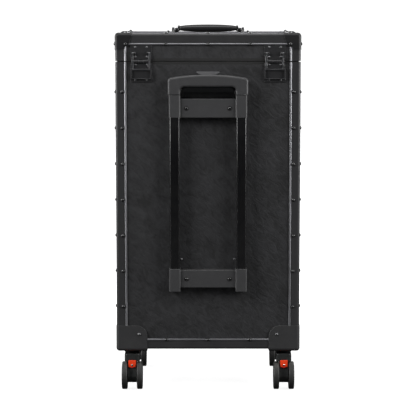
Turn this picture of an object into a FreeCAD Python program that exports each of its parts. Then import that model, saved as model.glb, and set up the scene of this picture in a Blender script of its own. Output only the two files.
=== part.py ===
import FreeCAD, Part
import math
import os

# Rolling makeup train case. Millimetres, +Z up, +Y to the rear (the side with the trolley handle),
# origin on the floor under the middle of the case. Left and right are seen from the front.
V = FreeCAD.Vector
X, Y, Z = V(1, 0, 0), V(0, 1, 0), V(0, 0, 1)

# ---- driving dimensions -------------------------------------------------------------------
case_width = 366.0          # over the edge extrusions
case_depth = 252.0
body_height = 577.0
lid_height = 55.0
lid_flange = 19.0           # top to the bead on the lid's sides

panel_thickness = 7.0
lid_thickness = 5.0
skin = 2.0                  # wall of the edge extrusions
edge_radius = 5.0
flange_width = 17.5
bead_width = 4.0
bead_height = 1.3           # stands above the extrusion
rim_height = 6.0
rim_lip = 3.0               # lip of the body rim inside the lid
rim_lip_wall = 1.2
seam_gap = 0.5
seam_groove = 0.7           # each half of the shadow line round the seam
seam_groove_depth = 1.2

guard_width = 61.0          # moulded bottom corner guards
guard_height = 48.0
guard_wall = 1.5            # outside the extrusions
guard_base = 4.0            # below the body
guard_round = 22.0
guard_screw_inset = 45.0
guard_screw_height = 30.5
protector_length = 36.0     # steel top corner protectors
protector_drop = 34.0
protector_throat = 25.0     # how far it reaches in on the diagonal, past the bead's corner
protector_foot = 13.0
protector_chamfer = 3.5
protector_rivet_inset = 20.5

rivet_shank = 1.6
rivet_head = 3.5
rivet_dome = 3.0
rivet_inset = 13.0
post_rivets = 7
post_rivet_first = 87.0
post_rivet_margin = 60.0    # seam to the topmost rivet
bar_rivet_pitch = 83.5
side_rivet_offset = 55.0
fastener_clearance = 0.05

stile_depth = 12.0
rail_height = 12.0
plinth_height = 54.0        # fixed front below the drawers, over the corner guards
compartment_depth = 157.0   # open space over the drawers, below the seam
drawer_shares = {"bottom": 132.0, "middle": 112.0, "top": 86.0}
drawer_front_thickness = 8.0
drawer_gap = 1.5
tray_wall = 2.0
tray_side_room = 13.5       # drawer box to the edge of the front opening
tray_back_room = 32.0
tray_lift = 3.0
tray_headroom = 14.0
runner_width = 10.0
runner_height = 10.0
runner_wall = 2.0
runner_clearance = 0.3
runner_spacer = 14.0
pull_width = 110.0
pull_height = 13.0
pull_reach = 22.0
pull_bar = 8.0

insert_ledge_height = 95.0  # above the compartment floor
insert_ledge = 10.0
insert_back_room = 142.0
insert_height = 42.0
insert_wall = 2.5
insert_clearance = 0.6

hinge_inset = 51.0
hinge_half = 21.0
leaf_thickness = 1.8
leaf_top = 31.5
leaf_bottom = 40.5
knuckle_radius = 3.2
knuckle_split = 4.5
knuckle_end = 13.5
pin_radius = 1.5
hinge_rivet_x = 11.5
hinge_rivet_shank = 1.2
hinge_rivet_head = 2.2
hinge_rivet_dome = 1.3
hinge_rivet_rows = {"lid": (9.0, 28.0), "body": (-6.5, -36.8)}
stay_pivot = 16.0           # above the hinge pin
stay_reach = 17.0           # below the hinge pin
stay_half = 18.2
stay_bar = 3.4
stay_thickness = 1.6
stay_pin = 1.2
stay_eye = 2.2
stay_lug_width = 3.0
stay_lug_gap = 0.4
stay_lug_round = 2.6
pocket_clearance = 0.3
pocket_sill = 33.3          # top of the sill below the hinge pin
sill_thickness = 1.2

latch_inset = 83.0
latch_half = 12.0
bolt_half = 9.0
bolt_thickness = 2.9
latch_plate = 2.5
latch_cover = 1.5
latch_clearance = 0.3
latch_slot_half = 7.2
latch_base_span = (35.0, 5.0)    # below the seam
latch_keeper_span = (2.5, 15.0)  # above the seam
bolt_span = (33.0, 2.0)          # below the seam
bolt_tab = 6.0

trolley_x = 66.0
trolley_stand_off = 15.0    # tube centre line from the rear panel
tube_width = 19.4
tube_depth = 16.0
tube_radius = 3.0
tube_wall = 1.2
stage_clearance = 0.3
stage_wall = 1.0
sleeve_wall = 1.5
sleeve_cap = 1.4            # sleeve standing behind the tube
trolley_low = 120.9         # bottom of the lower bracket, above the body underside
trolley_lower_height = 45.3
trolley_upper_drop = 109.5  # seam to the bottom of the upper bracket
trolley_upper_height = 45.0
bracket_plate_wall = 3.0
bracket_plate_set_back = 5.0
upper_plate_height = 36.5
lower_plate_inset = 7.8
lower_plate_height = 34.3
bracket_screw_x = 42.7
grip_gap = 0.5
grip_overhang = 2.0         # grip wider than the sleeves on each side
grip_half_depth = 9.0
grip_arm = 26.5             # outer corner height above the grip's lower end
grip_rise = 6.5             # crown of the arch above the corners
grip_bar = 14.5             # underside of the bar above the grip's lower end
grip_corner = 8.0
grip_shoulder = 6.0
grip_rounding = 4.5
button_half = 22.5
button_height = 8.0
button_stand = 5.5          # top of the button above the arch
button_half_depth = 6.0
button_travel = 4.0
rod_radius = 2.0

handle_lug_x = 71.0
handle_pivot = 6.5          # above the lid top
handle_offset = 34.0
handle_half = 63.0
handle_grip_width = 20.0
handle_grip_height = 15.5
handle_pin = 2.5
handle_play = 0.3

caster_x_inset = 30.0
caster_y_inset = 32.0
caster_trail = 18.0
wheel_radius = 28.0
wheel_width = 11.0
tyre_thickness = 5.0
wheel_pair_width = 41.4
axle_radius = 3.0
stem_radius = 5.0
stem_clearance = 0.05
fork_half = 15.5
leg_half = 8.7
leg_round = 14.5
wheel_room = 28.0           # top of the wheels to the underside of the body
fork_over_wheel = 1.5
fork_under_guard = 6.5
fork_front = 15.0
fork_back = 8.0             # behind the axle
leg_knee = 14.0
release_drop = 11.5
release_rise = 2.7
release_play = 0.3
release_half = 7.4
release_travel = 2.5

# ---- places worked out from them ----------------------------------------------------------
ground_clearance = 2 * wheel_radius + wheel_room
half_width, half_depth = case_width / 2, case_depth / 2
panel_x, panel_y = half_width - skin, half_depth - skin
inner_x, inner_y = panel_x - panel_thickness, panel_y - panel_thickness
protector_wall = bead_height + 0.1
body_low = ground_clearance
seam = body_low + body_height
top = seam + lid_height
rim_low = seam - rim_height
floor_top = body_low + skin + panel_thickness
window_inset = flange_width + bead_width
window_x = half_width - window_inset
drawer_low = body_low + plinth_height
deck_top = seam - compartment_depth
drawer_room = deck_top - drawer_low - 3 * rail_height
drawer_heights = {name: drawer_room * share / sum(drawer_shares.values())
                  for name, share in drawer_shares.items()}
tray_half_width = window_x - tray_side_room
tray_depth = case_depth - tray_back_room
insert_depth = case_depth - insert_back_room
post_rivet_last = body_height - post_rivet_margin
hinge_x, latch_x = half_width - hinge_inset, half_width - latch_inset
hinge_y = panel_y + leaf_thickness + 1.6
tube_y = panel_y + trolley_stand_off
lower_bracket = body_low + trolley_low
upper_bracket = seam - trolley_upper_drop
sleeve_half = tube_width / 2 + sleeve_wall
sleeve_depth = tube_depth / 2 + sleeve_cap
sleeve_top = upper_bracket + trolley_upper_height
grip_low = sleeve_top + grip_gap
fork_low, fork_top = 2 * wheel_radius + fork_over_wheel, body_low - guard_base - fork_under_guard
caster_x, caster_y = half_width - caster_x_inset, half_depth - caster_y_inset


# ---- small tools --------------------------------------------------------------------------
def box(x0, x1, y0, y1, z0, z1):
    return Part.makeBox(x1 - x0, y1 - y0, z1 - z0, V(x0, y0, z0))


def rod(radius, start, axis, length):
    return Part.makeCylinder(radius, length, start, axis)


def fuse(shapes):
    return shapes[0].multiFuse(shapes[1:]).removeSplitter() if len(shapes) > 1 else shapes[0]


def cut(shape, tools):
    return shape.cut(Part.makeCompound(tools)) if tools else shape


def straight(edge, axis):
    if not isinstance(edge.Curve, Part.Line):
        return False
    return abs(edge.tangentAt(edge.FirstParameter).dot(axis)) > 0.999


def round_edges(shape, radius, chosen):
    return shape.makeFillet(radius, [e for e in shape.Edges if chosen(e)])


def prism(path, along):
    """Extrudes a closed outline. A path is a list of points, and a pair (through, end) is an arc."""
    edges = []
    here = path[0]
    for step in path[1:] + [path[0]]:
        if isinstance(step, tuple):
            edges.append(Part.Arc(here, step[0], step[1]).toShape())
            here = step[1]
        elif (step - here).Length > 1e-6:
            edges.append(Part.LineSegment(here, step).toShape())
            here = step
    return Part.Face(Part.Wire(edges)).extrude(along)


def corner_arc(centre, radius, start, end):
    """The (through, end) pair of an arc round centre between two angles in the XZ plane."""
    middle = math.radians((start + end) / 2)
    last = math.radians(end)
    return (
        centre + V(radius * math.cos(middle), 0, radius * math.sin(middle)),
        centre + V(radius * math.cos(last), 0, radius * math.sin(last)),
    )


def mirrored(shape, normal):
    return shape.mirror(V(0, 0, 0), normal)


def both_sides(shapes):
    """The shapes and their mirror images across the middle plane X = 0."""
    return shapes + [mirrored(s, X) for s in shapes]


def four_corners(shapes):
    pairs = both_sides(shapes)
    return pairs + [mirrored(s, Y) for s in pairs]


def envelope(half_x, half_y, z0, z1, radius, crowned):
    """A block with round upright edges, and round edges at its top or its bottom."""
    block = box(-half_x, half_x, -half_y, half_y, z0, z1)
    flat_z = z1 if crowned else z0

    def outer(edge):
        level = abs(edge.CenterOfMass.z - flat_z) < 1e-6
        return straight(edge, Z) or level

    return round_edges(block, radius, outer)


def tube(width, depth, radius, z0, z1):
    block = box(-width / 2, width / 2, -depth / 2, depth / 2, z0, z1)
    return round_edges(block, radius, lambda e: straight(e, Z))


def pin_with_head(place, outward, shank, length, head, dome, collar=0.0):
    """A domed head and its shank, pointing outward at place; a collar lifts the head."""
    crown = V(0, 0, collar + dome)
    shoulder = V(head, 0, collar)
    outline = [shoulder, V(head, 0, 0)] if collar else [shoulder]
    outline += [V(shank, 0, 0), V(shank, 0, -length), V(0, 0, -length), crown]
    edges = [Part.Arc(crown, V(head * 0.76, 0, collar + dome * 0.7), shoulder).toShape()]
    edges += [Part.LineSegment(a, b).toShape() for a, b in zip(outline, outline[1:])]
    solid = Part.Face(Part.Wire(edges)).revolve(V(0, 0, 0), Z, 360)
    solid.Placement = FreeCAD.Placement(place, FreeCAD.Rotation(Z, outward))
    return solid


def bead_strip(start, end, outward):
    """A half-round trim strip laid on a panel from start to end."""
    run = end - start
    across = run.cross(outward).normalize()
    side, foot, crown = across * (bead_width / 2), outward * skin, outward * (skin + bead_height)
    path = [start - side, start + side, start + side + foot, (start + crown, start - side + foot)]
    return prism(path, run)


def write(name, shapes):
    shape = shapes[0] if len(shapes) == 1 else Part.makeCompound(shapes)
    shape.exportStep("parts/" + name + ".step")


# ---- fasteners of the shell ---------------------------------------------------------------
def shell_rivets(place, outward, on_bead):
    """One rivet of the shell: its place is on the panel surface under the extrusion."""
    if on_bead:
        depth = panel_thickness
        return pin_with_head(place, outward, rivet_shank, depth, rivet_head, rivet_dome, skin)
    place = place + outward * skin
    return pin_with_head(place, outward, rivet_shank, panel_thickness, rivet_head, rivet_dome)


def shell_hole(place, outward, on_bead):
    radius = rivet_shank + fastener_clearance
    start = place - outward * (panel_thickness + 1)
    hole = rod(radius, start, outward, panel_thickness + skin + 2)
    if not on_bead:
        return hole
    seat = rod(rivet_head + fastener_clearance, place, outward, skin + bead_height + 1)
    return hole.fuse(seat)


def body_rivet_places():
    places = []
    pitch = (post_rivet_last - post_rivet_first) / (post_rivets - 1)
    for sx in (-1, 1):
        for sy in (-1, 1):
            for i in range(post_rivets):
                z = body_low + post_rivet_first + i * pitch
                places.append((V(sx * (half_width - rivet_inset), sy * panel_y, z), Y * sy, False))
                places.append((V(sx * panel_x, sy * (half_depth - rivet_inset), z), X * sx, False))
    z = body_low + flange_width + bead_width / 2
    for sy in (-1, 1):
        for i in (-1, 0, 1):
            places.append((V(i * bar_rivet_pitch, sy * panel_y, z), Y * sy, True))
    for sx in (-1, 1):
        for i in (-1, 1):
            places.append((V(sx * panel_x, i * side_rivet_offset, z), X * sx, True))
    return places


def lid_rivet_places():
    places = []
    z = top - lid_flange - bead_width / 2
    edge_y = half_depth - flange_width - bead_width / 2
    edge_x = half_width - flange_width - bead_width / 2
    for sy in (-1, 1):
        for i in (-1, 0, 1):
            places.append((V(i * bar_rivet_pitch, sy * panel_y, z), Y * sy, True))
            places.append((V(i * bar_rivet_pitch, sy * edge_y, top - skin), Z, True))
    for sx in (-1, 1):
        for i in (-1, 1):
            places.append((V(sx * panel_x, i * side_rivet_offset, z), X * sx, True))
            places.append((V(sx * edge_x, i * side_rivet_offset, top - skin), Z, True))
    return places


def holes_for(places):
    return [shell_hole(*p) for p in places]


# ---- body shell ---------------------------------------------------------------------------
def make_body_panels(holes):
    low, high = body_low + skin, rim_low
    side = box(inner_x, panel_x, -panel_y, panel_y, low, high)
    back = box(-inner_x, inner_x, inner_y, panel_y, low, high)
    base = box(-inner_x, inner_x, -panel_y, inner_y, low, floor_top)
    stems = [rod(stem_radius + 1, V(sx * caster_x, sy * caster_y, low - 1), Z, 20)
             for sx in (-1, 1) for sy in (-1, 1)]
    write("side_panels", [cut(s, holes) for s in both_sides([side])])
    write("back_panel", [cut(back, holes)])
    write("bottom_panel", [cut(base, holes + stems)])


def make_front_frame(holes):
    """Stiles at both sides, and the rails under, between and over the drawers."""
    front, back = -panel_y, -panel_y + stile_depth
    pieces = both_sides([box(window_x, inner_x, front, back, floor_top, rim_low)])
    pieces.append(box(-window_x, window_x, front, back, drawer_low - rail_height, drawer_low))
    z = drawer_low
    for name in ("bottom", "middle", "top"):
        z += drawer_heights[name]
        pieces.append(box(-window_x, window_x, front, back, z, z + rail_height))
        z += rail_height
    write("front_frame", [cut(p, holes) for p in pieces])
    panels = [box(-window_x, window_x, front, front + panel_thickness, z0, z1)
              for z0, z1 in ((floor_top, drawer_low - rail_height), (deck_top, rim_low))]
    write("front_panels", [cut(p, holes) for p in panels])
    deck_z = deck_top - (rail_height + panel_thickness) / 2
    deck = box(-inner_x, inner_x, back, inner_y, deck_z, deck_z + panel_thickness)
    write("compartment_floor", [deck])


def make_body_edges(holes):
    """Corner posts and bottom bars: one skin with a window left in each face."""
    edge_top = seam - seam_gap / 2 - seam_groove
    outer = envelope(half_width, half_depth, body_low, edge_top, edge_radius, False)
    far = 2 * (case_width + body_height)
    x, y, z = half_width - flange_width, half_depth - flange_width, body_low + flange_width
    windows = [
        box(-panel_x, panel_x, -panel_y, panel_y, body_low + skin, far),
        box(-x, x, -far, far, z, far),
        box(-far, far, -y, y, z, far),
        box(-x, x, -y, y, 0, far),
    ]
    edges = cut(outer, windows)
    write("body_edges", [cut(edges, holes)])
    return edges


def make_body_trim(holes, guards):
    """Half-round beads along the posts and the bottom bars, ending at the corner guards."""
    x, y = half_width - flange_width - bead_width / 2, half_depth - flange_width - bead_width / 2
    z = body_low + flange_width + bead_width / 2
    low, high = z + bead_width / 2, seam - seam_gap / 2 - seam_groove
    strips = []
    for s in (-1, 1):
        for t in (-1, 1):
            strips.append(bead_strip(V(s * x, t * panel_y, low), V(s * x, t * panel_y, high), Y * t))
            strips.append(bead_strip(V(s * panel_x, t * y, low), V(s * panel_x, t * y, high), X * s))
        strips.append(bead_strip(V(-x, s * panel_y, z), V(x, s * panel_y, z), Y * s))
        strips.append(bead_strip(V(s * panel_x, -y, z), V(s * panel_x, y, z), X * s))
    strips = [cut(s, holes + guards) for s in strips]
    write("body_trim", [solid for s in strips for solid in s.Solids])


def groove_floor(z0, z1):
    """The part of a rim that lies behind the shadow line."""
    x, y = panel_x - seam_groove_depth, panel_y - seam_groove_depth
    return box(-x, x, -y, y, z0, z1)


def make_body_rim(holes):
    """Frame on the panels' upper edge, with a lip that the lid closes over."""
    high = seam - seam_gap / 2
    ring = fuse([box(-panel_x, panel_x, -panel_y, panel_y, rim_low, high - seam_groove),
                 groove_floor(high - seam_groove, high)])
    lip_x, lip_y = inner_x + rim_lip_wall, inner_y + rim_lip_wall
    lip = box(-lip_x, lip_x, -lip_y, lip_y, rim_low, seam + rim_lip)
    hollow = box(-inner_x, inner_x, -inner_y, inner_y, rim_low - 1, seam + rim_lip + 1)
    write("body_rim", [cut(fuse([ring, lip]), [hollow] + holes)])


def rounded_slab(width, height, radius, thickness):
    """Slab in the XZ plane from the corner at the origin to -width, height, thick along +Y."""
    centre = V(-width + radius, 0, height - radius)
    path = [
        V(0, 0, 0),
        V(0, 0, height),
        V(-width + radius, 0, height),
        corner_arc(centre, radius, 90, 180),
        V(-width, 0, 0),
    ]
    return prism(path, V(0, thickness, 0))


def guard_body():
    """The guard at the right rear corner, before its fasteners' holes."""
    reach_x, reach_y = half_width + guard_wall, half_depth + guard_wall
    low = body_low - guard_base
    width, height = guard_width + guard_wall, guard_height + guard_base
    back = rounded_slab(width, height, guard_round, skin + guard_wall)
    back.translate(V(reach_x, panel_y, low))
    side = rounded_slab(width, height, guard_round, skin + guard_wall)
    side.rotate(V(0, 0, 0), Z, 90)
    side.translate(V(reach_x, reach_y, low))
    base = box(reach_x - width, reach_x, reach_y - width, reach_y, low, body_low + skin)
    inner = V(reach_x - width, reach_y - width, 0)
    base = round_edges(base, guard_round, lambda e: straight(e, Z)
                       and (V(e.CenterOfMass.x, e.CenterOfMass.y, 0) - inner).Length < 1)
    return fuse([back, side, base])


def make_corner_guards(edges):
    """Moulded guards with the caster sockets under them. Returns them for the trim to end at."""
    low = body_low - guard_base
    reach_x, reach_y = half_width + guard_wall, half_depth + guard_wall
    outer = envelope(reach_x, reach_y, low, body_low + guard_height, edge_radius + guard_wall, False)
    guard = guard_body().common(outer)
    inside = box(0, panel_x, 0, panel_y, body_low + skin, top)
    guard = guard.cut(Part.makeCompound([edges, inside]))
    socket = Part.makeCone(fork_half + 0.5, fork_half + 4.5, low - fork_top - 0.5,
                           V(caster_x, caster_y, fork_top + 0.5))
    bore = rod(stem_radius + stem_clearance, V(caster_x, caster_y, fork_top), Z, 40)
    guard = fuse([guard, socket]).cut(bore)
    screw_z = body_low + guard_screw_height
    places = [
        (V(half_width - guard_screw_inset, reach_y, screw_z), Y),
        (V(reach_x, half_depth - guard_screw_inset, screw_z), X),
    ]
    holes = [rod(rivet_shank + fastener_clearance, p - n * 15, n, 20) for p, n in places]
    length = guard_wall + skin + panel_thickness
    screws = [pin_with_head(p, n, rivet_shank, length, rivet_head - 0.4, 1.6) for p, n in places]
    guards = four_corners([cut(guard, holes)])
    write("corner_guards", guards)
    return guards, four_corners(screws), four_corners(holes)


# ---- lid ----------------------------------------------------------------------------------
def make_lid_panels(holes):
    low = seam + seam_gap / 2 + rim_height
    under = top - skin - lid_thickness
    long_x, short_y = panel_x, panel_y - lid_thickness
    sides = [box(s * panel_x - (lid_thickness if s > 0 else 0),
                 s * panel_x + (0 if s > 0 else lid_thickness), -short_y, short_y, low, under)
             for s in (-1, 1)]
    ends = [box(-long_x, long_x, t * panel_y - (lid_thickness if t > 0 else 0),
                t * panel_y + (0 if t > 0 else lid_thickness), low, under)
            for t in (-1, 1)]
    roof = box(-panel_x, panel_x, -panel_y, panel_y, under, top - skin)
    write("lid_skirt", [cut(s, holes) for s in sides + ends])
    write("lid_top_panel", [cut(roof, holes)])


def make_lid_rim():
    low = seam + seam_gap / 2
    ring = fuse([box(-panel_x, panel_x, -panel_y, panel_y, low + seam_groove, low + rim_height),
                 groove_floor(low, low + seam_groove)])
    x, y = panel_x - lid_thickness, panel_y - lid_thickness
    write("lid_rim", [ring.cut(box(-x, x, -y, y, low - 1, low + rim_height + 1))])


def lid_edge_frame():
    low = seam + seam_gap / 2 + seam_groove
    outer = envelope(half_width, half_depth, low, top, edge_radius, True)
    far = 2 * (case_width + body_height)
    x, y, z = half_width - flange_width, half_depth - flange_width, top - lid_flange
    windows = [
        box(-panel_x, panel_x, -panel_y, panel_y, 0, top - skin),
        box(-x, x, -far, far, 0, z),
        box(-far, far, -y, y, 0, z),
        box(-x, x, -y, y, 0, far),
    ]
    return cut(outer, windows)


def make_lid_trim(holes, protectors):
    x, y = half_width - flange_width - bead_width / 2, half_depth - flange_width - bead_width / 2
    z = top - lid_flange - bead_width / 2
    low, high, roof = seam + seam_gap / 2 + seam_groove, z - bead_width / 2, top - skin
    strips = []
    for s in (-1, 1):
        for t in (-1, 1):
            strips.append(bead_strip(V(s * x, t * panel_y, low), V(s * x, t * panel_y, high), Y * t))
            strips.append(bead_strip(V(s * panel_x, t * y, low), V(s * panel_x, t * y, high), X * s))
        strips.append(bead_strip(V(-x, s * panel_y, z), V(x, s * panel_y, z), Y * s))
        strips.append(bead_strip(V(s * panel_x, -y, z), V(s * panel_x, y, z), X * s))
        strips.append(bead_strip(V(-x, s * y, roof), V(x, s * y, roof), Z))
        strips.append(bead_strip(V(s * x, bead_width / 2 - y, roof),
                                 V(s * x, y - bead_width / 2, roof), Z))
    strips = [cut(s, holes + protectors) for s in strips]
    write("lid_trim", [solid for s in strips for solid in s.Solids])


def protector_slab(drop, thickness):
    """Plate in the XZ plane, with its corner at the origin, that narrows away from the corner."""
    throat = protector_throat
    chamfer = protector_chamfer
    path = [
        V(0, 0, 0),
        V(-protector_length, 0, 0),
        V(-throat - chamfer, 0, chamfer - throat),
        V(-throat, 0, -throat),
        V(-protector_foot, 0, 1 - drop),
        V(0, 0, -drop),
    ]
    return prism(path, V(0, thickness, 0))


def top_slab():
    """Plate over the lid's corner, square at the corner and cut off inside."""
    reach, throat = protector_length, protector_throat
    path = [
        V(0, 0, 0),
        V(-reach, 0, 0),
        V(-throat, -throat, 0),
        V(0, -reach, 0),
    ]
    return prism(path, V(0, 0, skin + protector_wall))


def make_lid_corners(edges):
    """Steel protectors over the lid's upper corners, each held by three rivets."""
    wall = protector_wall
    reach_x, reach_y, high = half_width + wall, half_depth + wall, top + wall
    outer = envelope(reach_x, reach_y, seam, high, edge_radius + wall, True)
    back = protector_slab(protector_drop, skin + wall)
    back.translate(V(reach_x, panel_y, high))
    side = protector_slab(protector_drop, skin + wall)
    side.rotate(V(0, 0, 0), Z, 90)
    side.translate(V(reach_x, reach_y, high))
    roof = top_slab()
    roof.translate(V(reach_x, reach_y, top - skin))
    plate = fuse([back, side, roof]).common(outer)
    plate = plate.cut(Part.makeCompound([edges, box(0, panel_x, 0, panel_y, seam, top - skin)]))
    inset = protector_rivet_inset
    rivets = [
        (V(half_width - inset, reach_y, top - inset), Y),
        (V(reach_x, half_depth - inset, top - inset), X),
        (V(half_width - inset, half_depth - inset, high), Z),
    ]
    length = wall + skin + lid_thickness
    holes = [rod(rivet_shank + fastener_clearance, p - n * (length + 1), n, length + 3)
             for p, n in rivets]
    pins = [pin_with_head(p, n, rivet_shank, length, rivet_head, rivet_dome) for p, n in rivets]
    protectors = four_corners([cut(plate, holes)])
    write("lid_corners", protectors)
    return protectors, four_corners(pins), four_corners(holes)


# ---- hinges -------------------------------------------------------------------------------
def leaf(side):
    """Half of a hinge at X = 0: side is 1 for the lid's leaf and -1 for the body's."""
    low, high = panel_y, panel_y + leaf_thickness
    reach = leaf_top if side > 0 else leaf_bottom
    z0, z1 = sorted((seam + side * 4, seam + side * reach))
    pieces = [box(-hinge_half, hinge_half, low, high, z0, z1)]
    a, b = (knuckle_split + 0.3, knuckle_end) if side > 0 else (-knuckle_split, knuckle_split)
    for x0, x1 in ([(a, b), (-b, -a)] if side > 0 else [(a, b)]):
        z0, z1 = sorted((seam, seam + side * 4))
        pieces.append(box(x0, x1, low, high, z0, z1))
        pieces.append(rod(knuckle_radius, V(x0, hinge_y, seam), X, x1 - x0))
    play = 0 if side > 0 else fastener_clearance
    bore = rod(pin_radius + play, V(-hinge_half, hinge_y, seam), X, 2 * hinge_half)
    return fuse(pieces).cut(bore)


def hinge_rivets(rows):
    places = [V(x, panel_y + leaf_thickness, seam + z) for z in rows
              for x in (-hinge_rivet_x, hinge_rivet_x)]
    length = leaf_thickness + lid_thickness
    pins = [pin_with_head(p, Y, hinge_rivet_shank, length, hinge_rivet_head, hinge_rivet_dome) for p in places]
    bore = hinge_rivet_shank + fastener_clearance
    holes = [rod(bore, p - Y * (length + 3), Y, length + 4) for p in places]
    return pins, holes


def stay_axis():
    return hinge_y + 1.3


def lid_lugs():
    """Lugs on the lid's leaf that carry the stay frame."""
    x1 = stay_half - stay_bar - stay_lug_gap
    x0 = x1 - stay_lug_width
    y0, y1 = panel_y + leaf_thickness, stay_axis()
    z = seam + stay_pivot
    r = stay_lug_round
    lug = fuse([box(x0, x1, y0, y1, z - r, z + r), rod(r, V(x0, y1, z), X, x1 - x0)])
    hole = rod(stay_pin + fastener_clearance, V(x0 - 1, y1, z), X, stay_lug_width + 3)
    return both_sides([lug.cut(hole)])


def pocket():
    """Raised cheeks and sill on the body's leaf that the stay's foot slides between."""
    x0, x1 = stay_half + pocket_clearance, hinge_half
    y0, y1 = panel_y + leaf_thickness, stay_axis() + stay_thickness
    z_sill = seam - pocket_sill - sill_thickness
    cheek = box(x0, x1, y0, y1, z_sill, seam - stay_reach + 3)
    sill = box(-x1, x1, y0, y1, z_sill, z_sill + sill_thickness)
    return fuse(both_sides([cheek]) + [sill])


def stay_frame():
    """Rectangular wire-like frame pinned to the lid's lugs."""
    y = stay_axis()
    z0, z1 = seam - stay_reach, seam + stay_pivot
    x0, x1 = stay_half - stay_bar, stay_half
    bar = box(x0, x1, y - stay_thickness / 2, y + stay_thickness / 2, z0, z1)
    eye = rod(stay_eye, V(x0, y, z1), X, stay_bar)
    reach = stay_lug_gap + stay_lug_width
    pin = rod(stay_pin, V(x0 - reach, y, z1), X, reach + 0.6)
    foot = box(-x0, x0, y - stay_thickness / 2, y + stay_thickness / 2, z0, z0 + stay_lug_round)
    return fuse(both_sides([fuse([bar, eye, pin])]) + [foot])


def make_hinges():
    body_leaf = fuse([leaf(-1), pocket()])
    lid_leaf = fuse([leaf(1)] + lid_lugs())
    pin = rod(pin_radius, V(-knuckle_end, hinge_y, seam), X, 2 * knuckle_end)
    body_pins, body_holes = hinge_rivets(hinge_rivet_rows["body"])
    lid_pins, lid_holes = hinge_rivets(hinge_rivet_rows["lid"])
    groups = {
        "body_hinge_leaves": [cut(body_leaf, body_holes)] + body_pins,
        "lid_hinge_leaves": [cut(lid_leaf, lid_holes), pin] + lid_pins,
        "lid_stays": [stay_frame()],
    }
    for name, shapes in groups.items():
        placed = []
        for side in (-1, 1):
            placed += [s.translated(V(side * hinge_x, 0, 0)) for s in shapes]
        write(name, placed)
    shift = [V(side * hinge_x, 0, 0) for side in (-1, 1)]
    return ([h.translated(v) for h in body_holes for v in shift],
            [h.translated(v) for h in lid_holes for v in shift])


# ---- latches ------------------------------------------------------------------------------
def latch_channel(z0, z1, slot_half):
    """A folded channel on the front face that a bolt slides in; slot_half opens its cover."""
    face = -panel_y
    inside = bolt_half + latch_clearance
    depth = latch_plate + bolt_thickness + 2 * latch_clearance
    block = box(-latch_half, latch_half, face - depth - latch_cover, face, z0, z1)
    tools = [box(-inside, inside, face - depth, face - latch_plate, z0 - 1, z1 + 1)]
    if slot_half:
        outer = face - depth - latch_cover
        tools.append(box(-slot_half, slot_half, outer - 1, face - depth + 1, z0 - 1, z1 + 1))
    return cut(block, tools)


def latch_bolt():
    face = -panel_y - latch_plate - latch_clearance
    z0, z1 = seam - bolt_span[0], seam - bolt_span[1]
    plate = box(-bolt_half, bolt_half, face - bolt_thickness, face, z0, z1)
    plate = round_edges(plate, 2, lambda e: straight(e, Y) and e.CenterOfMass.z > z1 - 1)
    outer = face - bolt_thickness
    tab = box(-bolt_tab, bolt_tab, outer - bolt_tab, outer, z0 + 5, z0 + 12)
    tab = round_edges(tab, 2, lambda e: straight(e, X) and e.CenterOfMass.y < outer - 3)
    return fuse([plate, tab])


def make_latches():
    base = latch_channel(seam - latch_base_span[0], seam - latch_base_span[1], latch_slot_half)
    keeper = latch_channel(seam + latch_keeper_span[0], seam + latch_keeper_span[1], 0)
    bolt = latch_bolt()
    places = [V(side * latch_x, 0, 0) for side in (-1, 1)]
    write("latch_bases", [base.translated(v) for v in places])
    write("latch_keepers", [keeper.translated(v) for v in places])
    write("left_latch_bolt", [bolt.translated(places[0])])
    write("right_latch_bolt", [bolt.translated(places[1])])


# ---- drawers ------------------------------------------------------------------------------
def runner_height_at(low, height):
    return low + height * 0.42


def runner_channel(z):
    """C-channel on the side panel's inner face; z is its middle."""
    reach = tray_half_width + runner_width + 2.5
    play = runner_clearance + runner_height / 2
    x0 = tray_half_width + 4
    y0, y1 = -panel_y + stile_depth, tray_depth - panel_y - 6
    block = box(x0, reach + runner_wall, y0, y1, z - play - runner_wall, z + play + runner_wall)
    groove = box(x0 - 1, reach, y0 - 1, y1 + 1, z - play, z + play)
    half = runner_spacer / 2
    spacer = box(reach + runner_wall, inner_x, y0, y1, z - half, z + half)
    return fuse([block.cut(groove), spacer])


def make_slides_and_ledges():
    pieces = []
    z = drawer_low
    for name in ("bottom", "middle", "top"):
        pieces.append(runner_channel(runner_height_at(z, drawer_heights[name])))
        z += drawer_heights[name] + rail_height
    z = deck_top + insert_ledge_height
    y0 = -panel_y + stile_depth
    pieces.append(box(inner_x - insert_ledge, inner_x, y0, inner_y, z - 8, z))
    write("slide_rails_and_ledges", both_sides(pieces))


def drawer_tray(low, height):
    y0 = -half_depth + drawer_front_thickness
    y1 = y0 + tray_depth
    z0, z1 = low + tray_lift, low + height - tray_headroom
    w = tray_half_width
    tray = box(-w, w, y0, y1, z0, z1)
    tray = tray.cut(box(-w + tray_wall, w - tray_wall, y0 + tray_wall, y1 - tray_wall,
                        z0 + tray_wall, z1 + 1))
    z = runner_height_at(low, height)
    half = runner_height / 2
    tongue = box(w, w + runner_width + 2, -panel_y + stile_depth + 4, y1 - 8, z - half, z + half)
    return fuse([tray] + both_sides([tongue]))


def drawer_front(low, height):
    x = window_x - drawer_gap
    front = box(-x, x, -half_depth, -half_depth + drawer_front_thickness,
                low + drawer_gap, low + height - drawer_gap)
    return round_edges(front, 2, lambda e: e.CenterOfMass.y < -half_depth + 0.01)


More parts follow.
